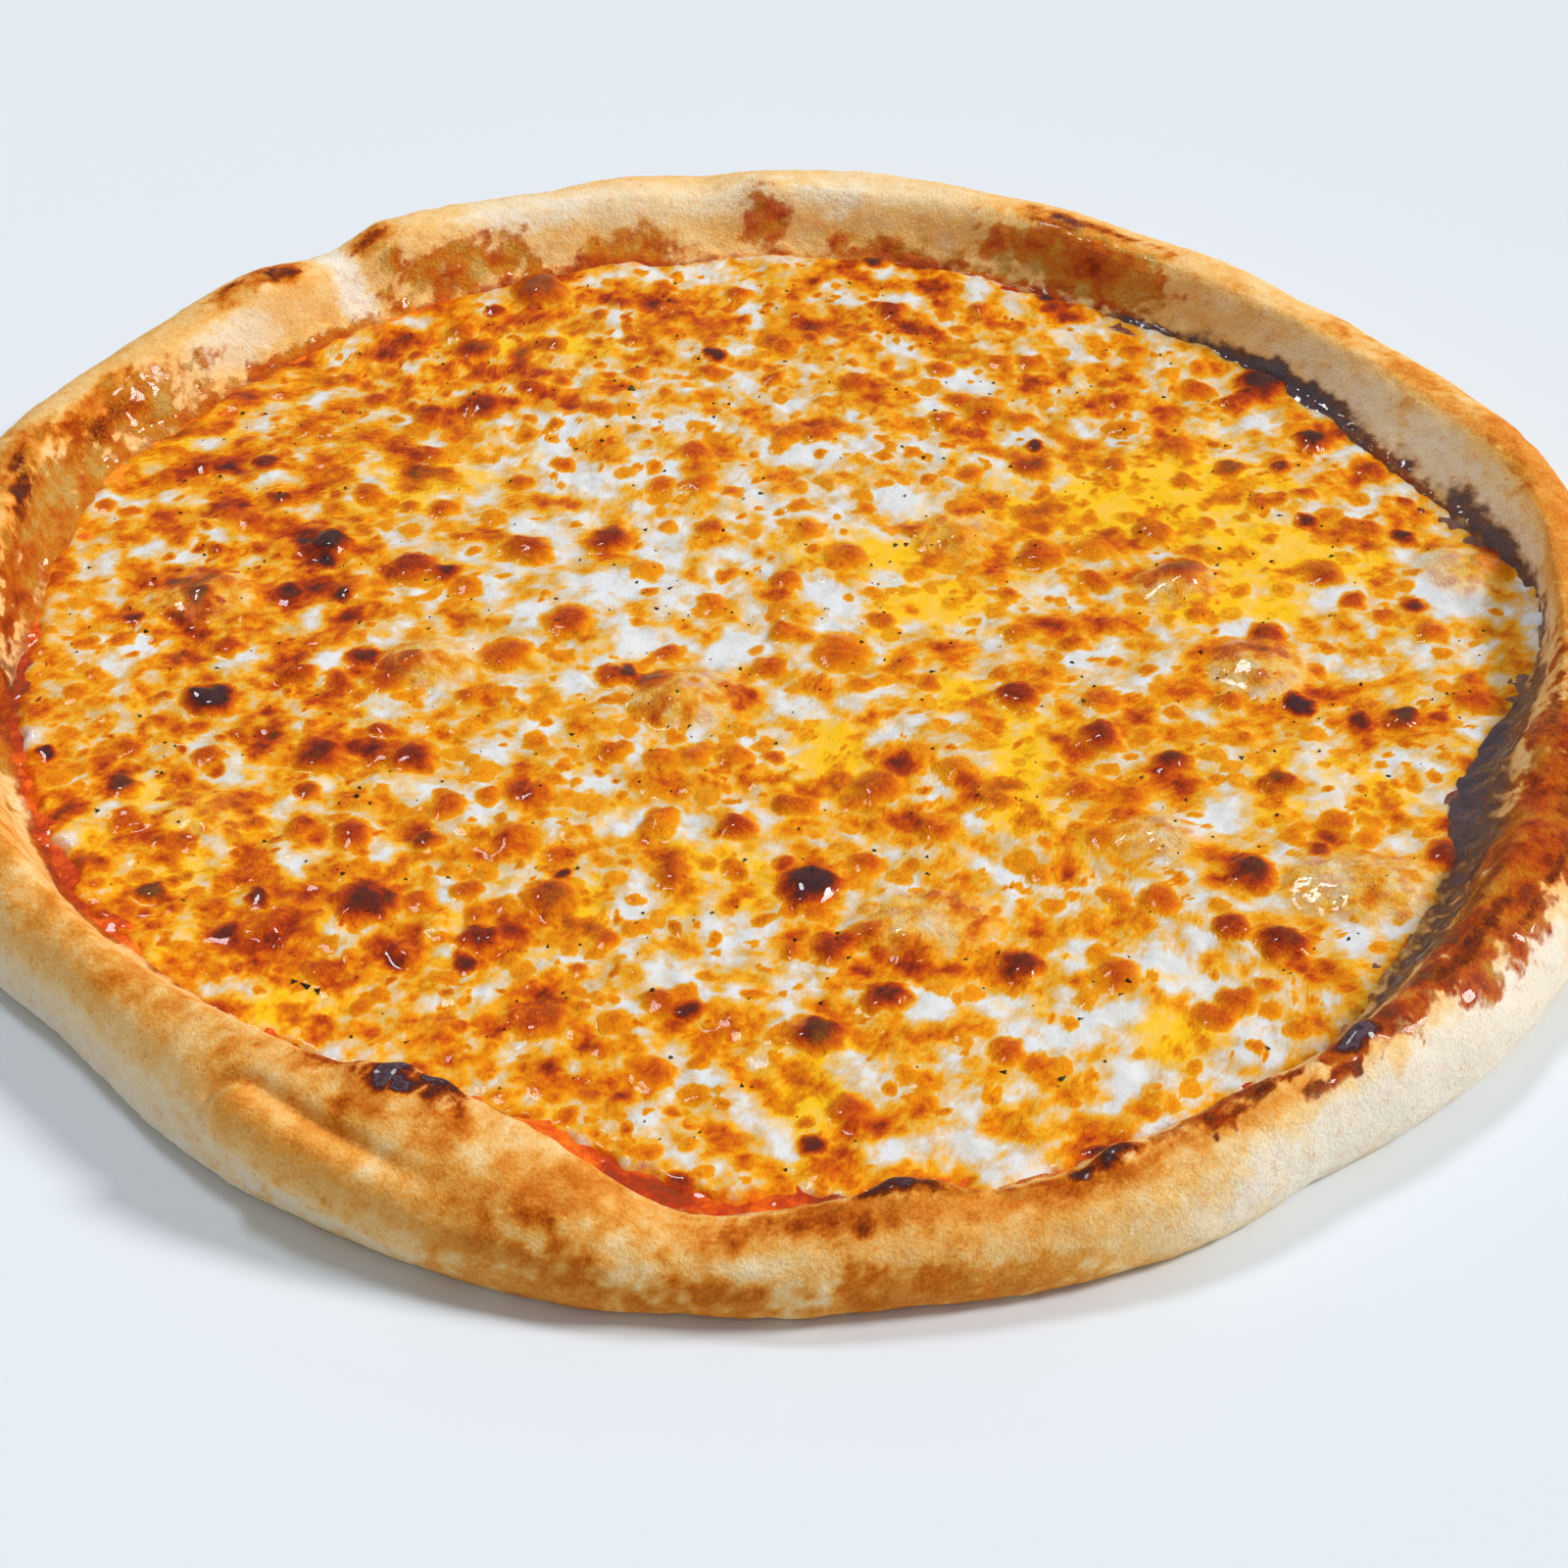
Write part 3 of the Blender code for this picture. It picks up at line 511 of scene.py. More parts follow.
def lathe(rings):
    """Points and faces of a closed body from rings of points, each end closed by a fan round its middle."""
    count = len(rings)
    points = np.stack(rings, axis=1).reshape(-1, 3)
    middles = [(0, 0, rings[0][0, 2]), (0, 0, rings[-1][0, 2])]
    first, last = len(points), len(points) + 1
    here = np.arange(STATIONS)[:, None] * count
    after = (np.arange(STATIONS)[:, None] + 1) % STATIONS * count
    ring = np.arange(count - 1)[None, :]
    quads = np.stack([here + ring, after + ring, after + ring + 1, here + ring + 1], axis=-1).reshape(-1, 4)
    faces = quads.tolist()
    for low, high in zip(here[:, 0].tolist(), after[:, 0].tolist()):
        faces.append((high, low, first))
        faces.append((low + count - 1, high + count - 1, last))
    return np.vstack([points, middles]), faces


def feature_sum(features, bearing, share, edge, soft=PATCH_SOFTNESS):
    """Sum of soft-edged patches of the rim; edge shifts their outline by an uneven amount."""
    total = np.zeros(len(bearing))
    for centre, wide, where, high, amount in features:
        away = (turn_between(bearing, centre) / wide) ** 2 + ((share - where) / high) ** 2
        total += amount * smooth_step(PATCH_REACH - np.sqrt(away) + edge, 0, soft)
    return total


def wet_tint(points, bearing):
    """Tint of the fat, sauce and film at the rim's foot."""
    tint = sum(amount * np.exp(-(turn_between(bearing, centre) / spread) ** 2)
               for centre, spread, amount in WET_TINTS)
    return WET_TINT_BASE + tint + WET_TINT_SWING * patches(points, TINT_SCALE)


def rim_colours(points, bearing, share):
    """Values along the rim that its material turns into colour."""
    coarse = patches(points, COARSE_SCALE)
    fine = patches(points, FINE_SCALE)
    edge = PATCH_EDGE_COARSE * coarse + PATCH_EDGE_FINE * fine
    crown = smooth_step(share, *CROWN_SHARES)
    toast_and_light = TOAST_BASE + TOAST_CROWN * crown + TOAST_COARSE * coarse + TOAST_FINE * fine
    # The pale patches hold painted light on the front right, and the toasted ones a painted golden
    # reflection low on the front
    toast_and_light += feature_sum(TOASTED_AND_BOARD_LIT, bearing, share, edge) - feature_sum(PALE_AND_LIT, bearing, share, edge)
    toast_and_light += FOLD_TOAST * np.clip(np.abs(fold_relief(bearing, share)) / MM, 0, 2)
    foot = smooth_step(share, *FOOT_SHARES)
    wall_tint = WALL_TINT_BASE + feature_sum(REDDENED, bearing, share, edge)
    wall_tint += WALL_TINT_SWING * patches(points, TINT_SCALE)
    return {"toast_and_light": toast_and_light,
            "stain": feature_sum(STAINED, bearing, share, edge, STAIN_SOFTNESS) + FOOT_STAIN * foot,
            "scorch": feature_sum(SCORCHED, bearing, share, edge, STAIN_SOFTNESS),
            "film_and_shade": feature_sum(FILMED_AND_SHADED, bearing, share, FILM_AND_SHADE_EDGE * edge, FILM_AND_SHADE_SOFTNESS),
            "tint": wall_tint + foot * (wet_tint(points, bearing) - wall_tint)}


def crust_piece():
    """The bread, with its colour values."""
    bearing = np.arange(STATIONS) * 360 / STATIONS - 180
    shares = np.linspace(0, 1, RIM_RINGS)
    rings = [rim_surface(bearing, np.full(STATIONS, share)) for share in shares]
    rings.append(place(bearing, wall_radius(bearing, BASE_THICKNESS), BASE_THICKNESS))
    points, faces = lathe(rings)
    share_at = np.append(np.tile(np.append(shares, 1.0), STATIONS), [0.0, 1.0])
    bearing_at = np.append(np.repeat(bearing, len(rings)), [0.0, 0.0])
    return points, faces, rim_colours(points, bearing_at, share_at)


def sauce_piece():
    """The film of sauce: it reaches into the wall and dips under the cheese."""
    bearing = np.arange(STATIONS) * 360 / STATIONS - 180
    outer, inner = foot_radius(bearing) + SAUCE_INTO_WALL, cheese_radius(bearing) - SAUCE_UNDER_CHEESE
    rings = [place(bearing, wall_radius(bearing, SAUCE_BOTTOM) - SAUCE_WALL_GAP, SAUCE_BOTTOM)]
    for share in np.linspace(0, 1, SAUCE_RINGS):
        radius = outer + (inner - outer) * share
        dip = SAUCE_DIP * smooth_step(share, SAUCE_DIP_START, 1.0)
        rise = waves(place(bearing, radius, 0.0), SAUCE_WAVES) * (1 - share ** 4)
        rings.append(place(bearing, radius, SAUCE_LEVEL - dip + rise))
    rings.append(place(bearing, inner - SAUCE_END_STEP, SAUCE_END_LEVEL))
    points, faces = lathe(rings)
    around = np.append(np.repeat(bearing, len(rings)), [0.0, 0.0])
    return points, faces, {"tint": wet_tint(points, around) + SAUCE_TINT}


def draw_place(draws, margin):
    """A random place on the cheese, in millimetres, no nearer to its edge than the margin."""
    bearing = draws.uniform(-180, 180)
    reach = math.sqrt(draws.uniform(0, 1)) * (cheese_radius(bearing) / MM - margin)
    return reach * math.cos(math.radians(bearing)), reach * math.sin(math.radians(bearing))


def draw_size(draws, sizes, skew):
    """A random size between two; the larger the skew, the more of them are small."""
    return sizes[0] + (sizes[1] - sizes[0]) * draws.uniform(0, 1) ** skew


def scatter_small_blisters():
    """The smaller blisters, clear of the larger ones and of each other."""
    draws = random.Random(SEED)
    placed = [(x, y) for x, y, radius, rise, dark in BLISTERS]
    small = []
    while len(small) < SMALL_BLISTERS:
        x, y = draw_place(draws, SMALL_BLISTER_MARGIN)
        size = draws.uniform(*SMALL_BLISTER_SIZES)
        if all(math.hypot(x - a, y - b) > SMALL_BLISTER_SPACING for a, b in placed):
            placed.append((x, y))
            small.append((x, y, size, SMALL_BLISTER_RISE * size, SMALL_BLISTER_DARKNESS))
    return small


def scatter_freckles(taken):
    """Freckles between the larger spots; more of them where the cheese is more toasted."""
    draws = random.Random(SEED + 1)
    placed = [(x, y, radius) for x, y, radius, rise, dark in taken]
    freckles = []
    for _ in range(FRECKLE_TRIES):
        x, y = draw_place(draws, FRECKLE_MARGIN)
        size = draw_size(draws, FRECKLE_SIZES, FRECKLE_SKEW)
        dark = draws.uniform(*FRECKLE_DARKNESS)
        zone = zone_sum(TONES, x, y)
        keep = draws.uniform(0, 1) < FRECKLE_CHANCE + FRECKLE_TONE_CHANCE * zone
        if len(freckles) < FRECKLES and keep and all(
                math.hypot(x - a, y - b) > FRECKLE_SPACING * (size + other) for a, b, other in placed):
            placed.append((x, y, size))
            dark += FRECKLE_TONE_DARKNESS * max(0, zone)
            freckles.append((x, y, size, FRECKLE_RISE * size, dark))
    return freckles


def zone_sum(zones, x, y):
    """Sum of the zones' smooth bumps at x, y in millimetres."""
    return sum(amount * np.exp(-((x - a) / long) ** 2 - ((y - b) / wide) ** 2)
               for a, b, long, wide, amount in zones)


def disc_grid(cells):
    """A square grid bent into a disc: bearing in degrees and share of the radius at each of its points."""
    line = np.linspace(-1, 1, cells + 1)
    a, b = [side.ravel() for side in np.meshgrid(line, line, indexing="ij")]
    wide = np.abs(a) >= np.abs(b)
    reach = np.where(wide, a, b)
    divisor = np.where(reach == 0, 1, reach)
    turn = np.where(wide, 45 * b / divisor, 90 - 45 * a / divisor)
    return np.where(reach < 0, turn + 180, turn), np.abs(reach)


def grid_faces(cells):
    """Faces of the square grid, and the points round its border counter-clockwise."""
    row = cells + 1
    corner = (np.arange(cells)[:, None] * row + np.arange(cells)[None, :]).ravel()
    quads = np.stack([corner, corner + row, corner + row + 1, corner + 1], axis=-1)
    border = [i * row for i in range(cells)] + [cells * row + j for j in range(cells)]
    border += [i * row + cells for i in range(cells, 0, -1)] + list(range(cells, 0, -1))
    return quads.tolist(), border


def cheese_outline(bearing):
    """Ragged edge of the cheese: it climbs the wall where no sauce shows."""
    plain = cheese_radius(bearing) + CHEESE_OVERLAP
    plain = plain + CHEESE_CLIMB * np.exp(-departure(SAUCE_SHOWS, bearing) / MM)
    ragged = plain + CHEESE_RAGGED * patches(place(bearing, plain, 0.0), CHEESE_RAGGED_SCALE)
    return np.minimum(ragged, foot_radius(bearing) + CHEESE_INTO_WALL + CHEESE_CLIMB)


def melted_lumps(x, y):
    """How far the lumps raise the cheese, in metres, and how much of their skin shows."""
    lift, skin = np.zeros((2, len(x)))
    for centre_x, centre_y, long, wide, rise in MOUNDS:
        away = ((x - centre_x) / long) ** 2 + ((y - centre_y) / wide) ** 2
        lift += rise * MM * np.clip(1 - away, 0, 1) ** MOUND_ROUNDNESS
        skin = np.maximum(skin, rise / SKIN_RISE * np.clip(SKIN_REACH - away, 0, 1))
    return lift, skin


def toasted_and_shaded_spots(spots_and_flank_shade, x, y):
    """How far the spots raise the cheese, how near and how dark they are, and their glow round them."""
    lift, near, dark, glow = np.zeros((4, len(x)))
    weight = np.full(len(x), 1e-6)
    for centre_x, centre_y, radius, rise, depth in spots_and_flank_shade:
        away = np.hypot(x - centre_x, y - centre_y) / radius
        if radius > FRECKLE_SIZES[1]:
            glow = np.maximum(glow, depth * np.exp(-(away / SPOT_GLOW_REACH) ** 2))
        profile = np.clip(1 - away / SPOT_HALO, 0, 1)
        near = np.maximum(near, profile)
        weight += profile ** 2
        dark += SPOT_DEPTH * depth ** SPOT_DEPTH_POWER * profile ** 2
        lift += rise * MM * np.clip(1 - away ** 2, 0, 1) ** SPOT_ROUNDNESS
    return lift, near, dark / weight, glow


def cheese_piece(spots_and_flank_shade):
    """The melted cheese, with its colour values; a number added to flat picks another part of the noise."""
    bearing, share = disc_grid(CHEESE_CELLS)
    foot, crest = foot_radius(bearing), crest_radius(bearing)
    edge_of = cheese_outline(bearing)
    flat = place(bearing, share * edge_of, 0.0)
    x, y = flat[:, 0] / MM, flat[:, 1] / MM
    to_edge = edge_of * (1 - share) / MM
    lump_lift, skin = melted_lumps(x, y)
    warp_x, warp_y = patches(flat, SPOT_WARP_SCALE), patches(flat + 0.37, SPOT_WARP_SCALE)
    spot_lift, near, dark, glow = toasted_and_shaded_spots(spots_and_flank_shade, x + warp_x, y + warp_y)

    zone = zone_sum(TONES, x, y)
    swing = TONE_SWING + TONE_ZONE_SWING * np.clip(zone, 0, 1)
    tone = TONE_BASE + TONE_ZONES * zone + swing * patches(flat, TONE_SCALE, 4)
    tone += TONE_DRIFT * patches(flat + 0.5, TONE_DRIFT_SCALE, 2) + SPOT_GLOW * glow
    tone += EDGE_TONE * np.exp(-to_edge / EDGE_TONE_WIDTH)
    pool = zone_sum(POOLS, x, y) + POOL_SWING * patches(flat + 0.71, TONE_SCALE)

    up_wall = 0.5 - 0.5 * np.cos(math.pi * np.clip((share * edge_of - foot) / (crest - foot), 0, 1))
    height = CHEESE_LEVEL + waves(flat, CHEESE_WAVES) + (rim_height(bearing) - CHEESE_LEVEL) * up_wall
    height += lump_lift + spot_lift + waves(flat, CLOT_WAVES) * (1 - POOL_FLATNESS * np.clip(pool, 0, 1))
    height -= CHEESE_EDGE_DROP * (1 - smooth_step(to_edge, 0, CHEESE_EDGE_WIDTH))

    faces, border = grid_faces(CHEESE_CELLS)
    points = np.column_stack([flat[:, :2], height])
    skirt = points[border] * (1, 1, 0) + (0, 0, CHEESE_BOTTOM)
    lowest = len(points)
    count = len(border)
    for step in range(count):
        after = (step + 1) % count
        faces.append((border[step], lowest + step, lowest + after, border[after]))
        faces.append((lowest + after, lowest + step, lowest + count))
    points = np.vstack([points, skirt, [(0, 0, CHEESE_BOTTOM)]])
    values = {"tone": tone, "spot": near, "dark": dark, "pool": pool, "skin": skin,
              "shore": np.exp(-to_edge / SHORE_WIDTH), "tint": wet_tint(flat, bearing)}
    hidden = np.zeros(count + 1)
    return points, faces, {name: np.append(value, hidden) for name, value in values.items()}, (flat, height)


def herb_piece(flat, height):
    """Flakes of dried herb that lie on the cheese."""
    draws = random.Random(SEED + 2)
    places = list(PLACED_HERBS)
    while len(places) < HERBS:
        x, y = draw_place(draws, HERB_MARGIN)
        places.append((x, y, draw_size(draws, HERB_SIZES, HERB_SKEW)))
    points, faces, tints = [], [], []
    for x, y, size in places:
        nearest = int(np.argmin((flat[:, 0] - x * MM) ** 2 + (flat[:, 1] - y * MM) ** 2))
        level = height[nearest] + HERB_LIFT
        turn = draws.uniform(0, 2 * math.pi)
        thin = draws.uniform(*HERB_WIDTHS)
        tint = draws.uniform(0, 1)
        lower = [len(points) + corner for corner in range(HERB_CORNERS)]
        upper = [corner + HERB_CORNERS for corner in lower]
        for lift, grow in HERB_RINGS:
            for corner in range(HERB_CORNERS):
                angle = 2 * math.pi * corner / HERB_CORNERS
                reach = size * grow * (0.7 + 0.3 * math.cos(3 * angle + 9 * tint))
                along = reach * math.cos(angle)
                across = reach * thin * math.sin(angle)
                px = x + along * math.cos(turn) - across * math.sin(turn)
                py = y + along * math.sin(turn) + across * math.cos(turn)
                tilt = 0.25 * along * math.sin(7 * tint) + 0.1 * size * math.sin(2 * angle + turn)
                points.append((px * MM, py * MM, level + (lift + max(0, tilt)) * MM))
                tints.append(tint)
        faces.append(lower[::-1])
        faces.append(upper)
        for corner in range(HERB_CORNERS):
            after = (corner + 1) % HERB_CORNERS
            faces.append((lower[corner], lower[after], upper[after], upper[corner]))
    return np.array(points), faces, {"tint": np.array(tints)}


def add_piece(name, points, faces, values, finish):
    """One named object, shaded smooth, with its values as attributes of its points."""
    mesh = bpy.data.meshes.new(name)
    mesh.from_pydata(points.tolist(), [], faces)
    for key, value in values.items():
        mesh.attributes.new(key, "FLOAT", "POINT").data.foreach_set("value", value.astype(np.float32))
    mesh.materials.append(finish)
    mesh.shade_smooth()
    piece = bpy.data.objects.new(name, mesh)
    bpy.context.scene.collection.objects.link(piece)
    return piece


def linear(red, green, blue):
    """A colour given as 0 to 255 on a screen, as the renderer wants it."""
    return tuple((((part / 255 + 0.055) / 1.055) ** 2.4 if part > 10 else part / 255 / 12.92)
                 for part in (red, green, blue)) + (1.0,)


class Recipe:
    """A material under construction."""

    def __init__(self, name):
        self.material = bpy.data.materials.new(name)
        self.material.use_nodes = True
        self.tree = self.material.node_tree
        self.shader = self.tree.nodes["Principled BSDF"]
        self.where = self.add("ShaderNodeTexCoord").outputs["Object"]

    def add(self, kind, **settings):
        made = self.tree.nodes.new(kind)
        for key, value in settings.items():
            setattr(made, key, value)
        return made

    def feed(self, socket, value):
        """Link a socket's source, or set its constant."""
        if isinstance(value, bpy.types.NodeSocket):
            self.tree.links.new(value, socket)
        else:
            socket.default_value = value

    def finish(self, name, value):
        self.feed(self.shader.inputs[name], value)

    def value(self, name):
        return self.add("ShaderNodeAttribute", attribute_name=name).outputs["Fac"]

    def maths(self, operation, a, b):
        made = self.add("ShaderNodeMath", operation=operation)
        self.feed(made.inputs[0], a)
        self.feed(made.inputs[1], b)
        return made.outputs[0]

    def noise(self, scale, detail=3.0, rough=0.6, twist=0.0):
        """Fractal noise around 0.5, with features of one metre over scale."""
        made = self.add("ShaderNodeTexNoise")
        self.feed(made.inputs["Vector"], self.where)
        made.inputs["Scale"].default_value = scale
        made.inputs["Detail"].default_value = detail
        made.inputs["Roughness"].default_value = rough
        made.inputs["Distortion"].default_value = twist
        return made.outputs["Fac"]

    def uneven(self, value, scale, amount, detail=3.0, rough=0.6, twist=0.0):
        """A value made uneven by noise of that amount."""
        swing = self.maths("SUBTRACT", self.noise(scale, detail, rough, twist), 0.5)
        return self.maths("ADD", value, self.maths("MULTIPLY", swing, amount))

    def step(self, value, start, end, low=0.0, high=1.0):
        """Smooth change from low to high as a value goes from start to end."""
        made = self.add("ShaderNodeMapRange", interpolation_type="SMOOTHSTEP")
        self.feed(made.inputs["Value"], value)
        for name, number in (("From Min", start), ("From Max", end), ("To Min", low), ("To Max", high)):
            made.inputs[name].default_value = number
        return made.outputs["Result"]

    def ramp(self, value, stops):
        """Colour by value, from stops of (value, colour)."""
        made = self.add("ShaderNodeValToRGB")
        self.feed(made.inputs["Fac"], value)
        marks = made.color_ramp.elements
        while len(marks) < len(stops):
            marks.new(1.0)
        for mark, (position, colour) in zip(marks, stops):
            mark.position = position
            mark.color = linear(*colour)
        return made.outputs["Color"]

    def blend(self, factor, a, b, kind="MIX"):
        made = self.add("ShaderNodeMix", data_type="RGBA", blend_type=kind)
        self.feed(made.inputs["Factor"], factor)
        self.feed(made.inputs[MIX_FIRST], a)
        self.feed(made.inputs[MIX_SECOND], b)
        return made.outputs[MIX_RESULT]

    def bump(self, height, distance, strength):
        made = self.add("ShaderNodeBump")
        made.inputs["Distance"].default_value = distance
        self.feed(made.inputs["Strength"], strength)
        self.feed(made.inputs["Height"], height)
        self.finish("Normal", made.outputs["Normal"])


def wet_colour(r):
    """Colour of the amber fat, red sauce or dark film that wets a surface; the dark film colours at the top
    of the ramp are partly painted shade and painted bluish reflection.
    """
    tint = r.uneven(r.uneven(r.value("tint"), 260, 0.42, 4.0), 900, 0.24)
    return r.ramp(tint, [(0.0, (255, 202, 104)), (0.08, (255, 174, 52)), (0.18, (255, 146, 24)),
                         (0.32, (240, 98, 4)), (0.46, (186, 50, 2)), (0.62, (122, 54, 26)),
                         (0.80, (124, 92, 84)), (1.0, (92, 72, 76))])


def baked_dough():
    """Bread skin: cream to golden and toasted, stained and filmed towards the cheese, with painted light:
    paler on the lit front right, a painted golden reflection low on the front, painted shade in the film of
    the right inner wall and a painted sheen on the char.
    """
    r = Recipe("baked_dough")
    # The toast values also carry painted light: paler where the outer wall at the front right faces the
    # light, and golden low on the front as a painted reflection from a board
    toast_and_light = r.uneven(r.uneven(r.value("toast_and_light"), 240, 0.24, 5.0, 0.7), 1700, 0.30, 2.0)
    colour = r.ramp(toast_and_light, [(0.0, (250, 240, 220)), (0.20, (252, 228, 184)), (0.38, (250, 203, 128)),
                            (0.54, (240, 167, 72)), (0.70, (216, 121, 32)), (0.86, (172, 74, 12)),
                            (1.0, (112, 44, 10))])
    stain = r.step(r.uneven(r.uneven(r.value("stain"), 260, 1.0, 4.0), 1000, 0.4), 0.2, 0.95)
    colour = r.blend(r.maths("MULTIPLY", stain, 0.95), colour, wet_colour(r))
    # Film of the right inner wall: partly browned film, partly painted shade of the wall turned from the
    # light; the bluish grey at the top of its ramp is a painted reflection of the sky
    film_and_shade = r.uneven(r.value("film_and_shade"), 300, 0.6, 4.0)
    film_and_shade_colour = r.ramp(r.uneven(film_and_shade, 520, 0.8, 5.0, 0.7), [(0.15, (200, 126, 60)), (0.4, (146, 96, 70)),
                                                              (0.7, (112, 84, 84)), (1.0, (94, 82, 98))])
    colour = r.blend(r.step(film_and_shade, 0.0, 0.6, 0.0, 0.94), colour, film_and_shade_colour)
    # The paler purple-grey stops near the top of the scorch ramp are partly the char's colour and partly a
    # painted reflection of bluish light on glossy char
    scorch = r.uneven(r.uneven(r.value("scorch"), 380, 0.8, 5.0, 0.7), 1600, 0.5)
    scorch_and_sheen_colour = r.ramp(scorch, [(0.12, (226, 118, 12)), (0.34, (176, 72, 8)), (0.54, (114, 46, 24)),
                                    (0.70, (84, 50, 54)), (0.86, (126, 102, 116)), (1.0, (92, 66, 78))])
    colour = r.blend(r.step(scorch, 0.0, 0.42), colour, scorch_and_sheen_colour)
    r.finish("Base Color", colour)
    wet = r.maths("MAXIMUM", r.step(film_and_shade, 0.1, 0.9), r.step(scorch, 0.4, 0.9))
    wet = r.maths("MAXIMUM", r.maths("MULTIPLY", stain, 0.8), wet)
    coat = r.maths("MAXIMUM", r.step(wet, 0.3, 0.9, 0.0, 0.3), r.step(film_and_shade, 0.3, 0.9, 0.0, 0.8))
    r.finish("Roughness", r.step(r.uneven(wet, 200, 0.4), 0.1, 0.9, 0.74, 0.3))
    r.finish("Specular IOR Level", 0.12)
    r.finish("Specular Tint", linear(255, 214, 150))
    r.finish("Coat Weight", coat)
    r.finish("Coat Roughness", 0.08)
    grain = r.uneven(r.uneven(0.0, 1500, 1.0, 4.0, 0.7), 640, 1.0, 3.0, 0.7)
    r.bump(grain, 0.8 * MM, r.step(wet, 0.0, 0.7, 0.53, 1.5))
    return r.material


def cooked_sauce():
    """What shows between cheese and bread: sauce, fat and browned film, all wet; the dark film on the right
    side is partly painted shade.
    """
    r = Recipe("cooked_sauce")
    r.finish("Base Color", wet_colour(r))
    r.finish("Roughness", r.step(r.noise(300), 0.3, 0.7, 0.16, 0.4))
    r.finish("Specular IOR Level", 0.3)
    r.finish("Specular Tint", linear(255, 180, 110))
    r.finish("Coat Weight", 0.4)
    r.finish("Coat Roughness", 0.06)
    r.bump(r.noise(700, 4.0), 0.7 * MM, 0.9)
    return r.material


def melted_cheese():
    """Cheese from white over peach to orange, yellow fat, and toasted spots up to charred."""
    r = Recipe("melted_cheese")
    tone = r.uneven(r.uneven(r.value("tone"), 380, 0.40, 5.0, 0.6, 0.6), 1500, 0.16)
    spot = r.uneven(r.uneven(r.value("spot"), 320, 0.36), 1500, 0.14)
    halo = r.step(spot, 0.0, 0.34, 0.0, 0.42)
    dark = r.uneven(r.uneven(r.value("dark"), 700, 0.3, 4.0), 2200, 0.3)
    core = r.maths("MULTIPLY", r.step(spot, 0.16, 0.80), dark)
    toasted = r.maths("MAXIMUM", tone, r.maths("ADD", halo, core))
    colour = r.ramp(toasted, [(0.08, (227, 230, 233)), (0.17, (228, 212, 188)), (0.26, (230, 192, 132)),
                              (0.35, (242, 176, 38)), (0.46, (238, 144, 0)), (0.57, (220, 104, 0)),
                              (0.68, (190, 64, 0)), (0.79, (144, 38, 4)), (0.89, (94, 28, 18)),
                              (1.0, (62, 32, 42))])
    shade = r.step(r.noise(160, 5.0, 0.6, 0.8), 0.4, 0.75)
    colour = r.blend(shade, colour, linear(236, 234, 228), "MULTIPLY")
    skin = r.step(r.uneven(r.value("skin"), 300, 0.5, 4.0), 0.15, 0.7)
    bare = r.step(toasted, 0.38, 0.6, 0.7, 0.1)
    skin_colour = r.ramp(r.noise(320, 4.0), [(0.38, (220, 126, 14)), (0.48, (242, 174, 52)),
                                             (0.56, (246, 200, 100)), (0.66, (240, 212, 160))])
    colour = r.blend(r.maths("MULTIPLY", skin, bare), colour, skin_colour)
    pool = r.step(r.uneven(r.value("pool"), 420, 0.6, 4.0, 0.6, 1.0), 0.06, 0.5)
    pale = r.step(toasted, 0.32, 0.5, 0.92, 0.1)
    colour = r.blend(r.maths("MULTIPLY", pool, pale), colour, linear(255, 198, 6))
    # The shore takes the wet colour, which on the right side is dark film that is partly painted shade
    shore = r.step(r.uneven(r.value("shore"), 260, 1.1, 4.0), 0.35, 0.8)
    colour = r.blend(r.maths("MULTIPLY", shore, 0.8), colour, wet_colour(r))
    r.finish("Base Color", colour)
    r.finish("Roughness", r.step(r.noise(350, 3.0), 0.3, 0.7, 0.24, 0.45))
    r.finish("Specular IOR Level", 0.15)
    r.finish("Specular Tint", linear(255, 200, 120))
    coat = r.maths("MAXIMUM", r.step(toasted, 0.5, 0.9, 0.18, 0.5), r.maths("MULTIPLY", skin, 0.45))
    r.finish("Coat Weight", coat)
    r.finish("Coat Roughness", 0.07)
    grain = r.uneven(r.uneven(0.0, 720, 1.0, 4.0, 0.65), 2300, 0.3, 2.0)
    rough = r.maths("MAXIMUM", r.step(toasted, 0.25, 0.6, 0.38, 0.85), r.maths("MULTIPLY", skin, 0.85))
    r.bump(grain, 0.75 * MM, rough)
    return r.material


def dried_herb():
    """Dull dark green to brown-black leaf bits."""
    r = Recipe("dried_herb")
    colour = r.ramp(r.value("tint"), [(0.0, (30, 26, 20)), (0.5, (62, 48, 24)), (1.0, (74, 86, 40))])
    r.finish("Base Color", colour)
    r.finish("Roughness", r.step(r.noise(2500), 0.3, 0.7, 0.5, 0.8))
    r.finish("Specular IOR Level", 0.15)
    return r.material


def pale_floor():
    r = Recipe("pale_floor")
    r.finish("Base Color", linear(224, 232, 239))
    r.finish("Roughness", 0.6)
    return r.material


def add_light(name, bearing, elevation, width, power, colour):
    """A soft light from far away, as wide in the sky as that angle in degrees."""
    lamp = bpy.data.lights.new(name, "SUN")
    lamp.angle = math.radians(width)
    lamp.energy = power
    lamp.color = colour
    thing = bpy.data.objects.new(name, lamp)
    turn, rise = math.radians(bearing), math.radians(elevation)
    away = Vector((math.cos(turn) * math.cos(rise), math.sin(turn) * math.cos(rise), math.sin(rise)))
    thing.location = away
    thing.rotation_mode = "QUATERNION"
    thing.rotation_quaternion = away.to_track_quat("Z", "Y")
    bpy.context.scene.collection.objects.link(thing)


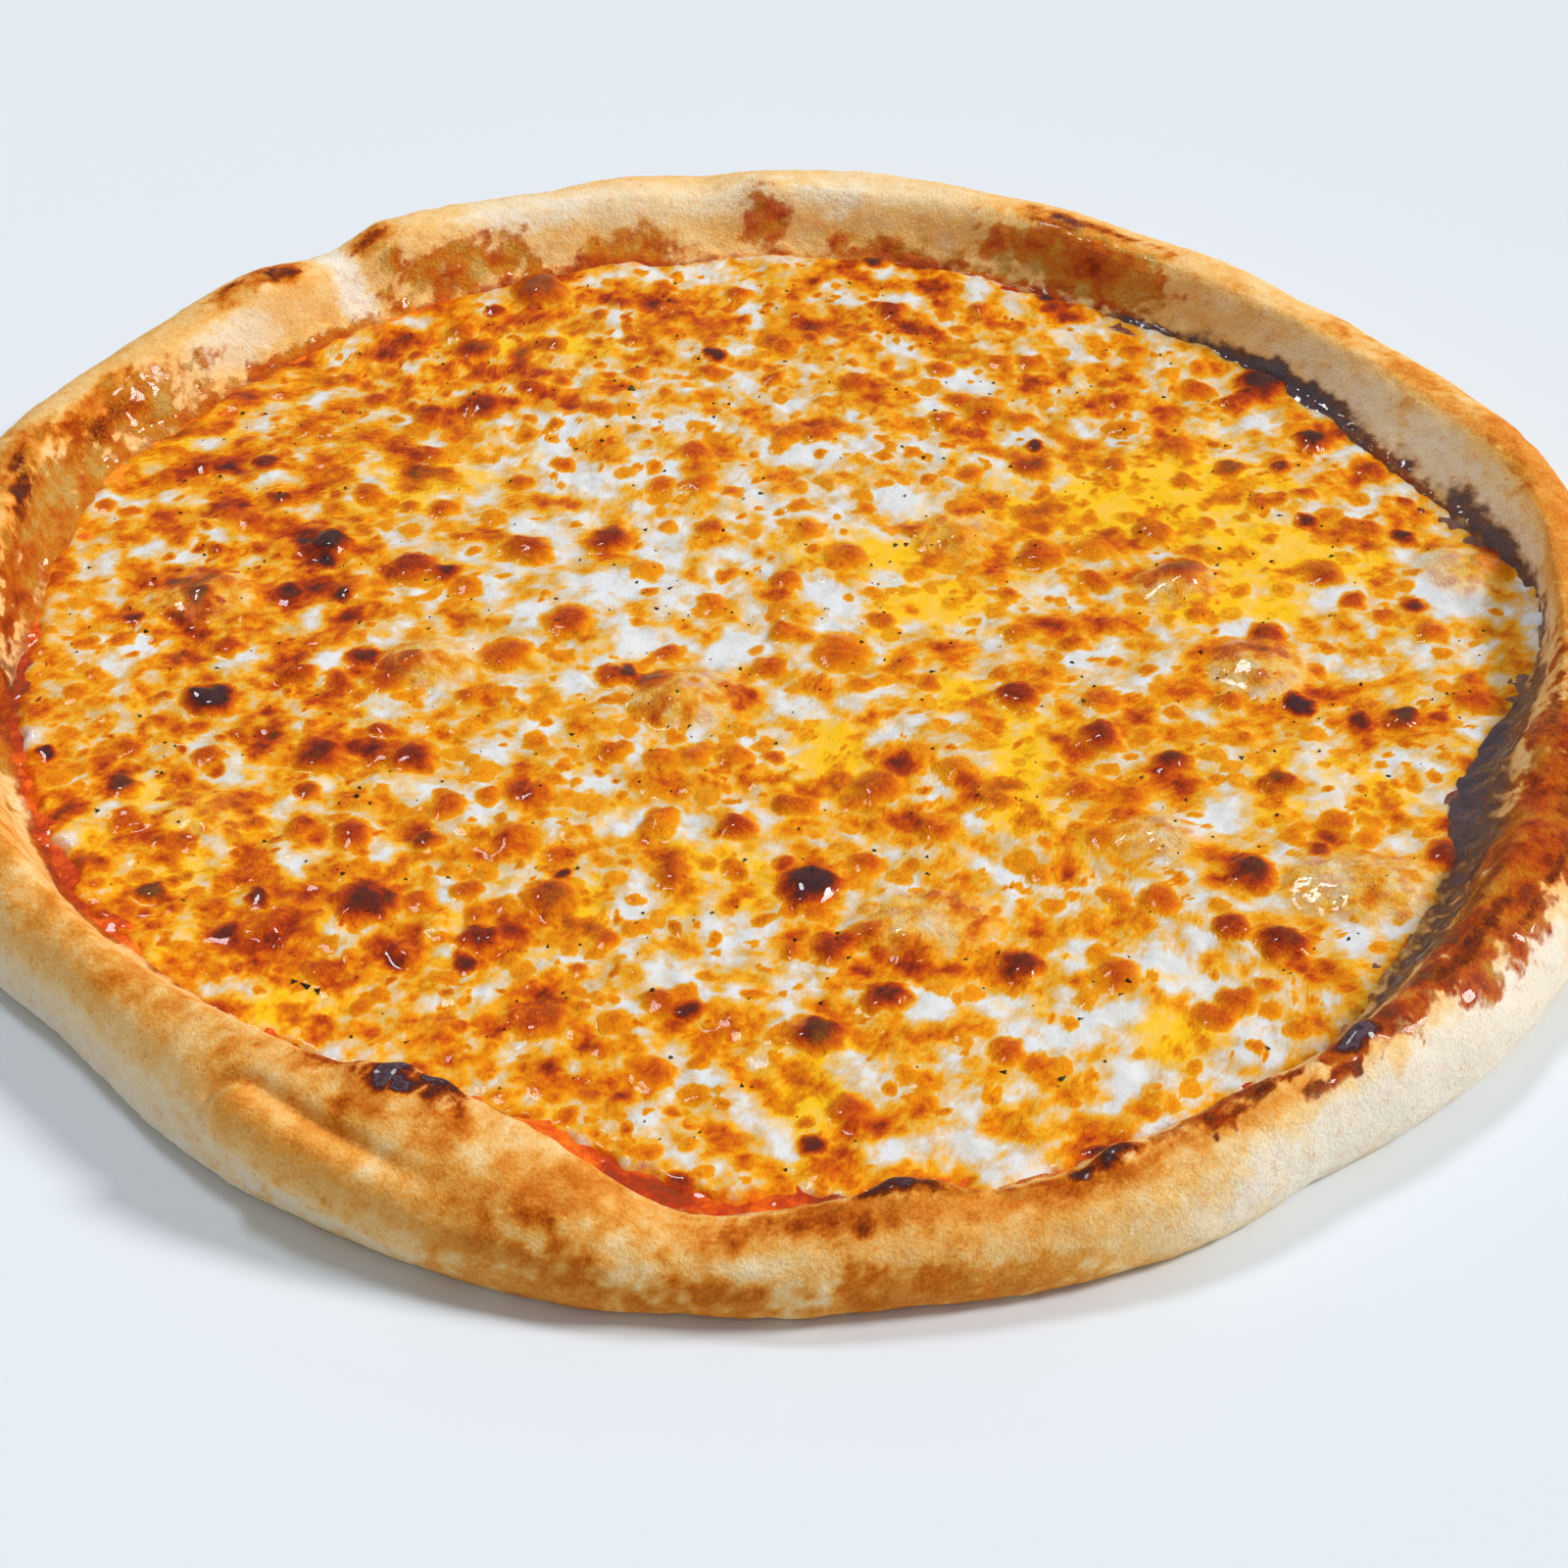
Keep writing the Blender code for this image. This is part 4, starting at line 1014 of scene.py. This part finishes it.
def add_camera(middle):
    """The photograph's camera."""
    data = bpy.data.cameras.new("camera")
    data.lens = CAMERA_LENS
    data.sensor_width = CAMERA_SENSOR
    thing = bpy.data.objects.new("camera", data)
    back = Vector((0, -math.cos(CAMERA_ELEVATION), math.sin(CAMERA_ELEVATION)))
    right, up = Vector((1, 0, 0)), Vector((0, math.sin(CAMERA_ELEVATION), math.cos(CAMERA_ELEVATION)))
    c, s = math.cos(CAMERA_ROLL), math.sin(CAMERA_ROLL)
    axes = Matrix((c * right + s * up, c * up - s * right, back)).transposed()
    target = Vector((CAMERA_TARGET[0] - middle[0], CAMERA_TARGET[1] - middle[1], 0))
    thing.matrix_world = Matrix.Translation(target + back * CAMERA_DISTANCE) @ axes.to_4x4()
    bpy.context.scene.collection.objects.link(thing)
    bpy.context.scene.camera = thing


def add_surroundings():
    """Floor, lights and sky."""
    mesh = bpy.data.meshes.new("floor")
    corners = [(-1, -1), (1, -1), (1, 1), (-1, 1)]
    points = [(FLOOR_HALF_WIDTH * x, FLOOR_HALF_WIDTH * y, 0) for x, y in corners]
    mesh.from_pydata(points, [], [(0, 1, 2, 3)])
    mesh.materials.append(pale_floor())
    floor = bpy.data.objects.new("floor", mesh)
    bpy.context.scene.collection.objects.link(floor)
    for name, bearing, elevation, width, power, colour in LIGHTS:
        add_light(name, bearing, elevation, width, power, colour)
    world = bpy.data.worlds.new("sky")
    world.use_nodes = True
    world.node_tree.nodes["Background"].inputs["Color"].default_value = SKY_COLOUR
    world.node_tree.nodes["Background"].inputs["Strength"].default_value = SKY_STRENGTH
    bpy.context.scene.world = world
    bpy.context.scene.view_settings.view_transform = "Standard"


def build():
    """Make, place and register every piece."""
    crust, crust_faces, crust_values = crust_piece()
    middle = (crust.min(axis=0) + crust.max(axis=0)) / 2 * (1, 1, 0)
    sauce, sauce_faces, sauce_values = sauce_piece()
    domes_and_flank_shade = BLISTERS + scatter_small_blisters()
    domes_and_flank_shade += [(x, y, radius, SPOT_RISE * radius, dark) for x, y, radius, dark in SPOTS_AND_FLANK_SHADE]
    spots_and_flank_shade = domes_and_flank_shade + scatter_freckles(domes_and_flank_shade)
    cheese, cheese_faces, cheese_values, (flat, height) = cheese_piece(spots_and_flank_shade)
    herbs, herb_faces, herb_values = herb_piece(flat, height)
    made = [("bread", crust, crust_faces, crust_values, baked_dough(), "crust", "crust"),
            ("sauce_film", sauce, sauce_faces, sauce_values, cooked_sauce(), "sauce", "sauce"),
            ("molten_cheese", cheese, cheese_faces, cheese_values, melted_cheese(), "cheese", "cheese"),
            ("herb_flakes", herbs, herb_faces, herb_values, dried_herb(), None, None)]
    for name, points, faces, values, finish, node, slot in made:
        piece = add_piece(name, points - middle, faces, values, finish)
        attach(piece, "root")
        if node:
            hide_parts(node)
    add_camera(middle)
    add_surroundings()


build()
